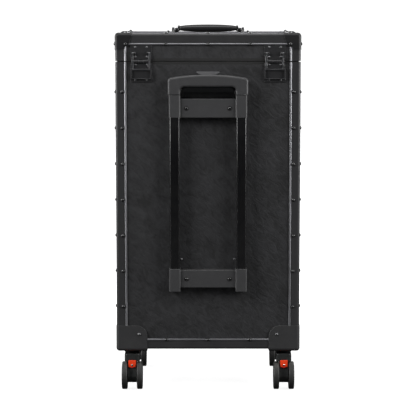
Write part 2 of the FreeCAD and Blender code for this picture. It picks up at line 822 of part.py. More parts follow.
def drawer_pull(low, height):
    """Moulded bow pull: two feet and a bar."""
    z = low + height * 0.62
    front = -half_depth
    half = pull_width / 2
    x_inner, foot = half - 12, pull_reach - pull_bar
    path = [
        V(-half, front, z),
        (V(-half + 2.5, front - pull_reach * 0.72, z), V(-half + 14, front - pull_reach, z)),
        V(half - 14, front - pull_reach, z),
        (V(half - 2.5, front - pull_reach * 0.72, z), V(half, front, z)),
        V(x_inner, front, z),
        (V(x_inner - 2, front - foot + 2, z), V(x_inner - 8, front - foot, z)),
        V(-x_inner + 8, front - foot, z),
        (V(-x_inner + 2, front - foot + 2, z), V(-x_inner, front, z)),
    ]
    bar = prism(path, V(0, 0, pull_height))
    bar.translate(V(0, 0, -pull_height / 2))
    return bar


def make_drawers():
    z = drawer_low
    for name in ("bottom", "middle", "top"):
        height = drawer_heights[name]
        write(name + "_drawer_tray", [drawer_tray(z, height)])
        write(name + "_drawer_front", [drawer_front(z, height)])
        write(name + "_drawer_pull", [drawer_pull(z, height)])
        z += height + rail_height


def make_insert_tray():
    """Half-depth tray under the lid that slides on the side ledges."""
    z = deck_top + insert_ledge_height
    half = inner_x - insert_clearance
    body_half = inner_x - insert_ledge - insert_clearance
    y0 = -panel_y + stile_depth + 1
    y1 = y0 + insert_depth
    z1 = z + 6
    z0 = z1 - insert_height
    tray = box(-body_half, body_half, y0, y1, z0, z1)
    rim = box(-half, half, y0, y1, z + 0.2, z1)
    shape = fuse([tray, rim])
    wall = insert_wall
    shape = shape.cut(box(-body_half + wall, body_half - wall, y0 + wall, y1 - wall, z0 + wall, z1 + 1))
    x = body_half / 3
    ribs = [box(s * x - 1, s * x + 1, y0 + wall, y1 - wall, z0 + wall, z1 - 6) for s in (-1, 1)]
    write("sliding_tray", [fuse([shape] + ribs)])


# ---- trolley handle -----------------------------------------------------------------------
def stage(level):
    """Width, depth, radius and wall of the outer (0), middle (1) or inner (2) tube."""
    width, depth, radius, wall = tube_width, tube_depth, tube_radius, tube_wall
    for i in range(level):
        shrink = 2 * (wall + stage_clearance)
        width, depth, wall = width - shrink, depth - shrink, stage_wall
        radius = radius - 0.6
    return width, depth, radius, wall


def stage_tube(level, z0, z1):
    width, depth, radius, wall = stage(level)
    outer = tube(width, depth, radius, z0, z1)
    inner = tube(width - 2 * wall, depth - 2 * wall, radius - 0.6, z0 - 1, z1 + 1)
    return outer.cut(inner)


def trolley_pair(shape):
    return [shape.translated(V(side * trolley_x, tube_y, 0)) for side in (-1, 1)]


def sleeve_block(z0, z1):
    block = box(-sleeve_half, sleeve_half, -trolley_stand_off, sleeve_depth, z0, z1)
    return round_edges(block, 3, lambda e: straight(e, Z) and e.CenterOfMass.y > 0)


def bracket_plate(z0, z1):
    """Hollow moulded plate between the sleeves, open towards the case."""
    x = trolley_x - sleeve_half
    y1 = tube_y + sleeve_depth - bracket_plate_set_back
    plate = box(-x, x, panel_y, y1, z0, z1)
    wall = bracket_plate_wall
    room = box(-x + wall, x - wall, panel_y - 1, y1 - wall, z0 + wall, z1 - wall)
    z = (z0 + z1) / 2
    bosses = both_sides([rod(5, V(bracket_screw_x, panel_y, z), Y, y1 - wall - panel_y + 0.1)])
    return fuse([plate.cut(room)] + bosses), y1, z


def bracket_screws(y, z):
    places = [V(s * bracket_screw_x, y, z) for s in (-1, 1)]
    length = y - panel_y + panel_thickness
    pins = [pin_with_head(p, Y, rivet_shank, length, 3.4, 1.8) for p in places]
    holes = [rod(rivet_shank + fastener_clearance, p - Y * (length + 1), Y, length + 3)
             for p in places]
    return pins, holes


def make_trolley_frame():
    """Fixed outer rails and the two brackets; returns the screws and their holes."""
    rail_low, rail_high = lower_bracket + 5.4, sleeve_top - 5
    rails = trolley_pair(stage_tube(0, rail_low, rail_high))
    write("trolley_outer_rails", rails)
    width, depth, radius, wall = stage(0)
    seat = tube(width, depth, radius, rail_low, rail_high)
    middle_width, middle_depth, middle_radius = stage(1)[:3]
    play = 2 * stage_clearance
    mouth = tube(middle_width + play, middle_depth + play, middle_radius, rail_high - 1, sleeve_top + 1)
    plate, y, z = bracket_plate(upper_bracket, upper_bracket + upper_plate_height)
    pins, holes = bracket_screws(y, z)
    sleeves = trolley_pair(sleeve_block(upper_bracket, sleeve_top))
    upper = fuse(sleeves + [plate])
    upper = cut(upper, trolley_pair(seat) + trolley_pair(mouth) + holes)
    write("trolley_top_bracket", [upper])
    low_plate = lower_bracket + lower_plate_inset
    plate, y, z = bracket_plate(low_plate, low_plate + lower_plate_height)
    low_pins, low_holes = bracket_screws(y, z)
    sleeves = trolley_pair(sleeve_block(lower_bracket, lower_bracket + trolley_lower_height))
    lower = cut(fuse(sleeves + [plate]), trolley_pair(seat) + low_holes)
    write("trolley_bottom_bracket", [lower])
    return pins + low_pins, holes + low_holes


def grip_outline():
    """Arched bow over both arms, in the XZ plane at Y = 0."""
    outer = trolley_x + sleeve_half + grip_overhang
    inner = trolley_x - sleeve_half
    z = grip_low
    bar, arm = z + grip_bar, z + grip_arm
    r, big = grip_corner, grip_shoulder
    left, right = V(-inner + r, 0, bar - r), V(inner - r, 0, bar - r)
    return [
        V(-outer, 0, z),
        V(-outer, 0, arm),
        corner_arc(V(-outer + big, 0, arm), big, 180, 100),
        (V(0, 0, arm + big + grip_rise), V(outer - big + big * math.cos(math.radians(80)), 0,
                                           arm + big * math.sin(math.radians(80)))),
        corner_arc(V(outer - big, 0, arm), big, 80, 0),
        V(outer, 0, z),
        V(inner, 0, z),
        V(inner, 0, bar - r),
        corner_arc(right, r, 0, 90),
        V(-inner + r, 0, bar),
        corner_arc(left, r, 90, 180),
        V(-inner, 0, z),
    ]


def button_profile(half, top_z, drop):
    """Lens seen from behind: flat on top, curved below."""
    return [
        V(-half, 0, top_z),
        V(half, 0, top_z),
        V(half, 0, top_z - 1.5 - drop),
        (V(0, 0, top_z - button_height - drop), V(-half, 0, top_z - 1.5 - drop)),
    ]


def grip_solid():
    grip = prism(grip_outline(), V(0, 2 * grip_half_depth, 0))
    grip.translate(V(0, -grip_half_depth, 0))
    return round_edges(grip, grip_rounding,
                       lambda e: abs(abs(e.CenterOfMass.y) - grip_half_depth) < 1e-3
                       and e.CenterOfMass.z > grip_low + 0.01)


def make_trolley_handle():
    """Middle and inner tubes, the grip in two shells, and its release button with its rods."""
    low, high = lower_bracket + 11.4, sleeve_top - 0.5
    write("trolley_middle_tubes", trolley_pair(stage_tube(1, low, high)))
    width, depth, radius, wall = stage(2)
    socket_top = grip_low + 16.5
    write("trolley_inner_tubes", trolley_pair(stage_tube(2, low + 6, socket_top)))
    arch = grip_low + grip_arm + grip_shoulder + grip_rise
    button_top = arch + button_stand
    channel_low = grip_low + grip_bar + 2.8
    channel_high = channel_low + button_travel + 6.2
    play = 0.4
    button_play = 2 * button_half_depth + 2 * play
    pocket_shape = prism(button_profile(button_half + play, button_top + 1, button_travel + 1 + play),
                         V(0, button_play, 0))
    pocket_shape.translate(V(0, -button_play / 2, 0))
    rod_x = trolley_x + rod_radius + 1.6
    stem_half, stem_depth = 14.0, 2.5
    hollow = [
        box(-rod_x, rod_x, -stem_depth - 1.5, stem_depth + 1.5, channel_low, channel_high),
        box(-stem_half - play, stem_half + play, -stem_depth - play, stem_depth + play,
            channel_high - 1, button_top),
        pocket_shape,
    ]
    for side in (-1, 1):
        socket = tube(width, depth, radius, grip_low - 1, socket_top)
        hollow.append(socket.translated(V(side * trolley_x, 0, 0)))
        hollow.append(rod(rod_radius + play, V(side * trolley_x, 0, socket_top - 1), Z,
                          channel_low - socket_top + 3))
    grip = cut(grip_solid(), hollow)
    wide = 2 * trolley_x
    rear = grip.common(box(-wide, wide, 0, 50, 0, 2 * top)).translated(V(0, tube_y, 0))
    front = grip.common(box(-wide, wide, -50, 0, 0, 2 * top)).translated(V(0, tube_y, 0))
    write("trolley_grip", [rear])
    write("trolley_grip_cover", [front])
    lens = prism(button_profile(button_half, button_top, 0), V(0, 2 * button_half_depth, 0))
    lens.translate(V(0, -button_half_depth, 0))
    bar_low = channel_low + button_travel + 0.2
    bar_high = bar_low + 4
    stem = box(-stem_half, stem_half, -stem_depth, stem_depth, bar_low, button_top - 3)
    bar = box(-trolley_x - 3, trolley_x + 3, -stem_depth, stem_depth, bar_low, bar_high)
    rods = [rod(rod_radius, V(s * trolley_x, 0, low + 30), Z, bar_high - low - 31) for s in (-1, 1)]
    release = fuse([lens, stem, bar] + rods).translated(V(0, tube_y, 0))
    write("trolley_button", [release])


# ---- carry handle -------------------------------------------------------------------------
def make_carry_handle():
    """Bow handle on the lid, folded flat, and the two brackets that it turns in."""
    z = top + handle_pivot
    base_z = top - skin
    lug_half = 2.5
    x0, x1 = handle_lug_x - lug_half, handle_lug_x + lug_half
    plate = box(handle_lug_x - 9, handle_lug_x + 13, -16, 16, base_z, base_z + skin)
    lug_path = [
        V(x0, -9, base_z + skin),
        V(x0, -4.2, z),
        (V(x0, 0, z + 4.2), V(x0, 4.2, z)),
        V(x0, 9, base_z + skin),
    ]
    lug = prism(lug_path, V(x1 - x0, 0, 0))
    hole = rod(handle_pin + fastener_clearance, V(x0 - 1, 0, z), X, 8)
    brackets = [fuse([plate, lug]).cut(hole)]
    write("handle_brackets", both_sides(brackets))
    grip_y, grip_z = handle_offset, top + 1.5 + handle_grip_height / 2
    sections = []
    for share, scale in ((-1, 0.42), (-0.72, 0.82), (-0.3, 0.98), (0.3, 0.98), (0.72, 0.82), (1, 0.42)):
        sections.append(grip_section(share * (handle_half - 3), scale, grip_y, grip_z))
    grip = Part.makeLoft(sections, True)
    inner = x0 - handle_play
    pieces = [grip]
    for side in (-1, 1):
        path = [
            V(0, -3.6, z),
            (V(0, 0, z - 3.6), V(0, 3.6, z - 3.2)),
            V(0, grip_y + 4, grip_z - 4),
            (V(0, grip_y + 7, grip_z), V(0, grip_y + 4, grip_z + 4)),
            V(0, 3.6, z + 3.2),
            (V(0, 0, z + 3.6), V(0, -3.6, z)),
        ]
        arm = prism(path, V(inner - handle_half + 5, 0, 0))
        arm.translate(V(handle_half - 5 if side > 0 else -inner, 0, 0))
        pieces.append(arm)
        start = inner - 1 if side > 0 else -x1 - 0.5
        pieces.append(rod(handle_pin, V(start, 0, z), X, x1 - inner + 1.5))
    write("carry_handle", [fuse(pieces)])


def grip_section(x, scale, y, z):
    """Ellipse across the handle's length at x."""
    major, minor = handle_grip_width / 2 * scale, handle_grip_height / 2 * scale
    curve = Part.Ellipse(V(0, 0, 0), major, minor)
    wire = Part.Wire([curve.toShape()])
    across = FreeCAD.Rotation(Y, Z, X, "XYZ")
    wire.Placement = FreeCAD.Placement(V(x, y, z), across)
    return wire


# ---- casters ------------------------------------------------------------------------------
def caster_leg():
    """Leg between the wheels, in the YZ plane, with its stem axis at Y = 0 and trailing +Y."""
    axle = V(-leg_half, caster_trail, wheel_radius)
    low = axle.z - leg_round
    path = [
        V(-leg_half, 2 - fork_front, fork_low + 2),
        V(-leg_half, 6 - fork_front, fork_low - leg_knee),
        V(-leg_half, caster_trail - leg_round, wheel_radius),
        (V(-leg_half, caster_trail, low), V(-leg_half, caster_trail + leg_round, wheel_radius)),
        V(-leg_half, caster_trail + fork_back, fork_low - leg_knee),
        V(-leg_half, caster_trail + fork_back, fork_low + 2),
    ]
    return prism(path, V(2 * leg_half, 0, 0))


def fork_shape():
    back = caster_trail + fork_back
    housing = box(-fork_half, fork_half, -fork_front, back, fork_low, fork_top)
    housing = round_edges(housing, 6, lambda e: straight(e, Z))
    housing = round_edges(housing, 2, lambda e: abs(e.CenterOfMass.z - fork_top) < 1e-6)
    stem = rod(stem_radius, V(0, 0, fork_top - 1), Z, body_low + skin + panel_thickness - fork_top)
    play = release_play
    room = box(-release_half - play, release_half + play, back - 5.8, back + 1,
               fork_low - release_drop - play, fork_low + release_rise + play)
    bore = rod(axle_radius + stem_clearance, V(-30, caster_trail, wheel_radius), X, 60)
    return fuse([housing, caster_leg(), stem]).cut(room.fuse(bore))


def release_shape():
    """Square button in the leg's rear face, pushed in to free the caster from its socket."""
    back = caster_trail + fork_back
    button = box(-release_half, release_half, back - 5.5 + release_travel, back + 2.5,
                 fork_low - release_drop, fork_low + release_rise)
    return round_edges(button, 1.2, lambda e: e.CenterOfMass.y > back + 2.49)


def wheel_shapes():
    """Two wheels, each a tyre on a hub, and the axle they turn with."""
    outer = wheel_pair_width / 2
    inner = outer - wheel_width
    centre = V(inner, caster_trail, wheel_radius)
    hub_radius = wheel_radius - tyre_thickness
    tyre = rod(wheel_radius, centre, X, wheel_width)
    tyre = round_edges(tyre, 2.2, lambda e: not isinstance(e.Curve, Part.Line))
    tyre = tyre.cut(rod(hub_radius, centre - X, X, wheel_width + 2))
    hub = rod(hub_radius, centre, X, wheel_width)
    dish = rod(hub_radius - 4, centre + X * (wheel_width - 2), X, 3)
    boss = rod(6, centre, X, wheel_width)
    hub = hub.cut(dish).fuse(boss).cut(rod(axle_radius, centre - X, X, wheel_width + 2))
    axle = rod(axle_radius, V(-outer + 1, caster_trail, wheel_radius), X, 2 * outer - 2)
    return both_sides([tyre, hub]) + [axle]


def make_casters():
    for end, sy in (("rear", 1), ("front", -1)):
        for side, sx in (("left", -1), ("right", 1)):
            name = end + "_" + side + "_caster_"
            groups = {"fork": [fork_shape()], "wheels": wheel_shapes(), "button": [release_shape()]}
            for piece, shapes in groups.items():
                if sy < 0:
                    shapes = [mirrored(s, Y) for s in shapes]
                write(name + piece, [s.translated(V(sx * caster_x, sy * caster_y, 0)) for s in shapes])


# ---- the whole case -----------------------------------------------------------------------
def main():
    os.makedirs("parts", exist_ok=True)
    body_places, lid_places = body_rivet_places(), lid_rivet_places()
    body_holes, lid_holes = holes_for(body_places), holes_for(lid_places)
    body_edges = make_body_edges(body_holes)
    guards, guard_screws, guard_holes = make_corner_guards(body_edges)
    make_body_trim(body_holes, guards)
    trolley_screws, trolley_holes = make_trolley_frame()
    body_hinge_holes, lid_hinge_holes = make_hinges()
    make_body_panels(body_holes + guard_holes + trolley_holes + body_hinge_holes)
    make_front_frame(body_holes + guard_holes)
    make_body_rim(body_hinge_holes)
    write("body_rivets", [shell_rivets(*p) for p in body_places] + trolley_screws)
    write("guard_screws", guard_screws)
    lid_edges = lid_edge_frame()
    protectors, protector_rivets, protector_holes = make_lid_corners(lid_edges)
    write("lid_edges", [cut(lid_edges, lid_holes + protector_holes)])
    make_lid_trim(lid_holes + protector_holes, protectors)
    make_lid_panels(lid_holes + protector_holes + lid_hinge_holes)
    make_lid_rim()
    write("lid_rivets", [shell_rivets(*p) for p in lid_places] + protector_rivets)
    make_latches()
    make_slides_and_ledges()
    make_drawers()
    make_insert_tray()
    make_trolley_handle()
    make_carry_handle()
    make_casters()


main()
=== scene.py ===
import math

import bpy
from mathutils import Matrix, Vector


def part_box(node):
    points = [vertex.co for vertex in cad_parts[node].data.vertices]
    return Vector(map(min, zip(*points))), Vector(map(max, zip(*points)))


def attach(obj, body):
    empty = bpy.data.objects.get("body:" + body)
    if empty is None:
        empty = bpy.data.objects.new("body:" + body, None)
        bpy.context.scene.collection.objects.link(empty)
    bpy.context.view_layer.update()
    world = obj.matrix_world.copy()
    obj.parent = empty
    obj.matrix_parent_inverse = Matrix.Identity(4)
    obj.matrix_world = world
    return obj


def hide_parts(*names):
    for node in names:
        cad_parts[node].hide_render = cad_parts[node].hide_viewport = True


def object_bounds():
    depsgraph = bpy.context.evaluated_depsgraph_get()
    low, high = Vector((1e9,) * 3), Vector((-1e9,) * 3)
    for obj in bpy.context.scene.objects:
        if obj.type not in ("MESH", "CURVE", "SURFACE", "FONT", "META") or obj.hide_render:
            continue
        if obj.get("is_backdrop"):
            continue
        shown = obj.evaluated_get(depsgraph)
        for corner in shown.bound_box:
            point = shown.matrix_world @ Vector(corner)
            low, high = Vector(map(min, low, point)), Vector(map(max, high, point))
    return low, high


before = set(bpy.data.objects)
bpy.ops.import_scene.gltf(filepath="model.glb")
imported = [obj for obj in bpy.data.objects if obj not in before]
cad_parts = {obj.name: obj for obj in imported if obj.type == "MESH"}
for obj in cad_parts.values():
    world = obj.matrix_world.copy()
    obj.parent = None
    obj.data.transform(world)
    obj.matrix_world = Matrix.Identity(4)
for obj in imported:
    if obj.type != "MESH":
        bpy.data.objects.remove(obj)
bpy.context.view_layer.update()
bpy.ops.object.select_all(action="DESELECT")


# ---------------------------------------------------------------- studio
# A white sweep under the case, a long lens square on to the rear panel from about the height
# of the lid, six soft boxes and one overhead; the two at the sides draw lines down the edges.
eye_distance, eye_height, look_down = 3.40, 0.768, math.radians(6.68)
lens_length = 148.6
rear_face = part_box("back_panel")[1].y

bpy.ops.object.camera_add(location=(0.0, rear_face + eye_distance, eye_height),
                          rotation=(math.radians(90) - look_down, 0.0, math.radians(180)))
camera = bpy.context.object
camera.data.lens = lens_length
camera.data.sensor_width = 36.0
bpy.context.scene.camera = camera


def put(tree, kind, wires=None, **settings):
    """Adds a node, sets it, and feeds its sockets from values or from other sockets."""
    node = tree.nodes.new(kind)
    for key, value in settings.items():
        setattr(node, key, value)
    for socket, value in (wires or {}).items():
        if isinstance(value, bpy.types.NodeSocket):
            tree.links.new(value, node.inputs[socket])
        else:
            node.inputs[socket].default_value = value
    return node


bpy.ops.mesh.primitive_plane_add(size=14.0, location=(0.0, 0.0, 0.0))
sweep = bpy.context.object
sweep.name = "white_sweep"
paper = bpy.data.materials.new("white_paper")
paper.use_nodes = True
tree = paper.node_tree
tree.nodes.clear()
seen = put(tree, "ShaderNodeLightPath").outputs["Is Camera Ray"]
fibre = put(tree, "ShaderNodeTexNoise", {"Scale": 60.0, "Detail": 3.0}).outputs["Fac"]
shade = put(tree, "ShaderNodeMapRange", {"Value": fibre, "To Min": 0.30, "To Max": 0.33})
matte = put(tree, "ShaderNodeBsdfDiffuse", {"Color": shade.outputs["Result"]})
bounce = put(tree, "ShaderNodeBsdfDiffuse", {"Color": (0.07, 0.07, 0.07, 1.0)})
# To the camera the floor also glows, more strongly the farther it lies from the case: painted light that
# keeps the far floor white where the lamps fall off and leaves it dimmer round the case.
out = put(tree, "ShaderNodeVectorMath", {0: put(tree, "ShaderNodeTexCoord").outputs["Object"]},
          operation="LENGTH")
painted_floor_light = put(tree, "ShaderNodeMapRange", {"Value": out.outputs["Value"], "From Min": 0.15,
                                        "From Max": 0.9, "To Min": 0.86, "To Max": 1.3})
glow = put(tree, "ShaderNodeEmission", {"Strength": painted_floor_light.outputs[0]})
both = put(tree, "ShaderNodeAddShader", {0: matte.outputs[0], 1: glow.outputs[0]})
pick = put(tree, "ShaderNodeMixShader", {0: seen, 1: bounce.outputs[0], 2: both.outputs[0]})
put(tree, "ShaderNodeOutputMaterial", {"Surface": pick.outputs[0]})
sweep.data.materials.append(paper)
sweep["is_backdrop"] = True

room = bpy.data.worlds.new("studio_room")
room.use_nodes = True
bpy.context.scene.world = room
tree = room.node_tree
tree.nodes.clear()
seen = put(tree, "ShaderNodeLightPath").outputs["Is Camera Ray"]
walls = put(tree, "ShaderNodeBackground", {"Color": (0.93, 0.96, 1.0, 1.0), "Strength": 0.10})
white = put(tree, "ShaderNodeBackground", {"Color": (1.0, 1.0, 1.0, 1.0), "Strength": 1.2})
pick = put(tree, "ShaderNodeMixShader", {0: seen, 1: walls.outputs[0], 2: white.outputs[0]})
put(tree, "ShaderNodeOutputWorld", {"Surface": pick.outputs[0]})
bpy.context.scene.view_settings.view_transform = "Standard"

aim = Vector((0.0, 0.0, 0.40))
soft_boxes = [("rear_left", (2.4, 1.8, 2.1), 1.2, 78.0),
              ("rear_right", (-2.5, 1.7, 1.6), 1.2, 56.0),
              ("front_left", (1.9, -2.4, 1.5), 1.3, 60.0),
              ("front_right", (-1.9, -2.4, 1.5), 1.3, 60.0),
              ("side_left", (2.3, 0.42, 0.75), 0.9, 30.0),
              ("side_right", (-2.3, 0.42, 0.75), 0.9, 26.0),
              ("overhead", (0.0, 0.35, 2.7), 1.6, 24.0)]
for name, place, side, watts in soft_boxes:
    bpy.ops.object.light_add(type="AREA", location=place)
    lamp = bpy.context.object
    lamp.name = name
    lamp.data.shape = "SQUARE"
    lamp.data.size = side
    lamp.data.energy = watts
    lamp.rotation_euler = (aim - Vector(place)).to_track_quat("-Z", "Y").to_euler()


# ---------------------------------------------------------------- leatherette panels
# Black embossed leatherette glued to board. The grain is a fine pebble with soft crushed
# creases that run on the slant, so the black turns from charcoal to near black in patches.
def shader_group(name, inputs, outputs):
    """Starts a shader node group with named inputs (vector or number) and outputs."""
    group = bpy.data.node_groups.new(name, "ShaderNodeTree")
    kinds = {"number": "NodeSocketFloat", "vector": "NodeSocketVector", "colour": "NodeSocketColor"}
    for socket, kind in inputs:
        group.interface.new_socket(socket, in_out="INPUT", socket_type=kinds[kind])
    for socket, kind in outputs:
        group.interface.new_socket(socket, in_out="OUTPUT", socket_type=kinds[kind])
    return group, put(group, "NodeGroupInput").outputs


hide, given = shader_group("hide_grain", [("Vector", "vector"), ("Pebble", "number")],
                           [("Height", "number"), ("Cloud", "number"), ("Crease", "number")])
pebble = put(hide, "ShaderNodeTexVoronoi", {"Vector": given["Vector"], "Scale": given["Pebble"]},
             feature="SMOOTH_F1")
tilted = put(hide, "ShaderNodeMapping", {"Vector": given["Vector"],
                                         "Rotation": (math.radians(35), math.radians(40), 0.0)})
slant = put(hide, "ShaderNodeMapping", {"Vector": tilted.outputs["Vector"],
                                        "Scale": (48.0, 48.0, 105.0)})
crush = put(hide, "ShaderNodeTexNoise", {"Vector": slant.outputs["Vector"], "Scale": 1.0, "Detail": 5.0,
                                         "Roughness": 0.62, "Distortion": 1.1})
patch = put(hide, "ShaderNodeTexNoise", {"Vector": given["Vector"], "Scale": 26.0, "Detail": 5.0,
                                         "Roughness": 0.65, "Distortion": 0.8})
crease = put(hide, "ShaderNodeMapRange", {"Value": crush.outputs["Fac"], "From Min": 0.40,
                                          "From Max": 0.62})
cloud = put(hide, "ShaderNodeMath", {0: patch.outputs["Fac"], 1: crush.outputs["Fac"]}, operation="ADD")
cloud = put(hide, "ShaderNodeMapRange", {"Value": cloud.outputs[0], "From Min": 0.78, "From Max": 1.22})
grain = put(hide, "ShaderNodeMath", {0: pebble.outputs["Distance"], 1: -0.55}, operation="MULTIPLY")
relief = put(hide, "ShaderNodeMath", {0: crease.outputs[0], 1: 0.8, 2: grain.outputs[0]},
             operation="MULTIPLY_ADD")
put(hide, "NodeGroupOutput", {"Height": relief.outputs[0], "Cloud": cloud.outputs[0],
                              "Crease": crease.outputs[0]})

marks, given = shader_group("handling_marks", [("Vector", "vector"), ("Dust", "number")],
                            [("Dust", "number"), ("Scuff", "number")])
settle = put(marks, "ShaderNodeNewGeometry")
upward = put(marks, "ShaderNodeSeparateXYZ", {0: settle.outputs["Normal"]})
flat_top = put(marks, "ShaderNodeMapRange", {"Value": upward.outputs["Z"], "From Min": 0.3,
                                             "From Max": 1.0, "To Min": 0.15, "To Max": 1.0})
film = put(marks, "ShaderNodeTexNoise", {"Vector": given["Vector"], "Scale": 42.0, "Detail": 6.0,
                                         "Roughness": 0.7})
film = put(marks, "ShaderNodeMapRange", {"Value": film.outputs["Fac"], "From Min": 0.42,
                                         "From Max": 0.74})
lying = put(marks, "ShaderNodeMath", {0: film.outputs[0], 1: flat_top.outputs[0]}, operation="MULTIPLY")
lying = put(marks, "ShaderNodeMath", {0: lying.outputs[0], 1: given["Dust"]}, operation="MULTIPLY")
hairs = put(marks, "ShaderNodeMapping", {"Vector": given["Vector"], "Rotation": (0.4, 0.9, 0.2),
                                         "Scale": (420.0, 420.0, 16.0)})
scratch = put(marks, "ShaderNodeTexNoise", {"Vector": hairs.outputs["Vector"], "Scale": 1.0,
                                            "Detail": 2.0})
scratch = put(marks, "ShaderNodeMapRange", {"Value": scratch.outputs["Fac"], "From Min": 0.70,
                                            "From Max": 0.80})
put(marks, "NodeGroupOutput", {"Dust": lying.outputs[0], "Scuff": scratch.outputs[0]})

# Edge mask from the bevelled normal. The paler colour it mixes in at the edges is partly rub wear and
# partly a painted highlight on the arrises.
rubbed_and_lit_edges, given = shader_group("rubbed_and_highlit_edges", [("Vector", "vector"), ("Width", "number")],
                             [("Edge", "number"), ("Normal", "vector")])
eased = put(rubbed_and_lit_edges, "ShaderNodeBevel", {"Radius": given["Width"]}, samples=4)
facing = put(rubbed_and_lit_edges, "ShaderNodeNewGeometry")
turned = put(rubbed_and_lit_edges, "ShaderNodeVectorMath", {0: eased.outputs[0], 1: facing.outputs["Normal"]},
             operation="DOT_PRODUCT")
edge = put(rubbed_and_lit_edges, "ShaderNodeMapRange", {"Value": turned.outputs["Value"], "From Min": 0.995,
                                          "From Max": 0.80})
broken = put(rubbed_and_lit_edges, "ShaderNodeTexNoise", {"Vector": given["Vector"], "Scale": 130.0, "Detail": 4.0})
broken = put(rubbed_and_lit_edges, "ShaderNodeMapRange", {"Value": broken.outputs["Fac"], "From Min": 0.30,
                                            "From Max": 0.62, "To Min": 0.25, "To Max": 1.0})
edge = put(rubbed_and_lit_edges, "ShaderNodeMath", {0: edge.outputs[0], 1: broken.outputs[0]}, operation="MULTIPLY")
put(rubbed_and_lit_edges, "NodeGroupOutput", {"Edge": edge.outputs[0], "Normal": eased.outputs[0]})


def finish(name, grain, size, depth, colours, rough, edge_width=0.0007, rub_and_highlight_share=0.5, dust=0.10,
           metallic=0.0, coat=0.0, stretch=(1.0, 1.0, 1.0)):
    """A material from one grain group: colours go dark, pale, rubbed edge (part rub wear, part painted
    highlight); rough goes from low to high.
    """
    material = bpy.data.materials.new(name)
    material.use_nodes = True
    tree = material.node_tree
    skin = tree.nodes["Principled BSDF"]
    here = put(tree, "ShaderNodeTexCoord").outputs["Object"]
    drawn = put(tree, "ShaderNodeMapping", {"Vector": here, "Scale": stretch}).outputs["Vector"]
    surface = put(tree, "ShaderNodeGroup", node_tree=grain)
    tree.links.new(drawn, surface.inputs["Vector"])
    surface.inputs[1].default_value = size
    rub_and_highlight = put(tree, "ShaderNodeGroup", node_tree=rubbed_and_lit_edges)
    tree.links.new(here, rub_and_highlight.inputs["Vector"])
    rub_and_highlight.inputs["Width"].default_value = edge_width
    wear = put(tree, "ShaderNodeGroup", node_tree=marks)
    tree.links.new(here, wear.inputs["Vector"])
    wear.inputs["Dust"].default_value = dust
    dark, pale, worn_and_highlit = [tuple(colour) + (1.0,) for colour in colours]
    tone = put(tree, "ShaderNodeMix", {"Factor": surface.outputs["Cloud"], 6: dark, 7: pale},
               data_type="RGBA")
    share = put(tree, "ShaderNodeMath", {0: rub_and_highlight.outputs["Edge"], 1: rub_and_highlight_share}, operation="MULTIPLY")
    tone = put(tree, "ShaderNodeMix", {"Factor": share.outputs[0], 6: tone.outputs[2], 7: worn_and_highlit},
               data_type="RGBA")
    tone = put(tree, "ShaderNodeMix", {"Factor": wear.outputs["Dust"], 6: tone.outputs[2],
                                       7: (0.30, 0.29, 0.27, 1.0)}, data_type="RGBA")
    gloss = put(tree, "ShaderNodeMapRange", {"Value": surface.outputs["Cloud"], "To Min": rough[1],
                                             "To Max": rough[0]})
    gloss = put(tree, "ShaderNodeMath", {0: wear.outputs["Scuff"], 1: 0.12, 2: gloss.outputs[0]},
                operation="MULTIPLY_ADD", use_clamp=True)
    bump = put(tree, "ShaderNodeBump", {"Height": surface.outputs["Height"], "Strength": 1.0,
                                        "Distance": depth, "Normal": rub_and_highlight.outputs["Normal"]})
    tree.links.new(tone.outputs[2], skin.inputs["Base Color"])
    tree.links.new(gloss.outputs[0], skin.inputs["Roughness"])
    tree.links.new(bump.outputs[0], skin.inputs["Normal"])
    skin.inputs["Metallic"].default_value = metallic
    skin.inputs["Coat Weight"].default_value = coat
    skin.inputs["Coat Roughness"].default_value = 0.08
    return material


def dress(material, *nodes):
    """Gives whole CAD nodes one finish."""
    for node in nodes:
        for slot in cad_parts[node].material_slots:
            slot.material = material


leatherette = finish("black_leatherette", hide, 780.0, 0.00030,
                     [(0.0045, 0.0045, 0.005), (0.028, 0.028, 0.030), (0.04, 0.04, 0.042)],
                     (0.46, 0.66), rub_and_highlight_share=0.3, dust=0.05)

# Painted shadow along the seam: the colour turns near black within a millimetre or so of the seam level,
# standing in for the shade in the gap between lid and body.
seam_shadow, given = shader_group("painted_seam_shadow", [("Vector", "vector"), ("Bare", "colour")],
                          [("Colour", "colour")])
seam_shadow_reach, seam_shadow_fade = 0.0010, 0.0014
seam_level = 0.5 * (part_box("lid_skirt")[0].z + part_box("side_panels")[1].z)
level = put(seam_shadow, "ShaderNodeSeparateXYZ", {0: given["Vector"]})
level = put(seam_shadow, "ShaderNodeMath", {0: level.outputs["Z"], 1: seam_level}, operation="SUBTRACT")
level = put(seam_shadow, "ShaderNodeMath", {0: level.outputs[0]}, operation="ABSOLUTE")
cover = put(seam_shadow, "ShaderNodeMapRange", {"Value": level.outputs[0], "From Min": seam_shadow_reach,
                                        "From Max": seam_shadow_fade, "To Min": 1.0, "To Max": 0.0})
painted = put(seam_shadow, "ShaderNodeMix", {"Factor": cover.outputs[0], 6: given["Bare"],
                                     7: (0.001, 0.001, 0.001, 1.0)}, data_type="RGBA")
put(seam_shadow, "NodeGroupOutput", {"Colour": painted.outputs[2]})


def paint_seam_shadow(material):
    """Paints a near-black band on either side of the lid's seam: painted shadow for the gap between lid
    and body.
    """
    tree = material.node_tree
    skin = tree.nodes["Principled BSDF"]
    bare = skin.inputs["Base Color"].links[0].from_socket
    painted = put(tree, "ShaderNodeGroup", node_tree=seam_shadow)
    tree.links.new(put(tree, "ShaderNodeTexCoord").outputs["Object"], painted.inputs["Vector"])
    tree.links.new(bare, painted.inputs["Bare"])
    tree.links.new(painted.outputs["Colour"], skin.inputs["Base Color"])


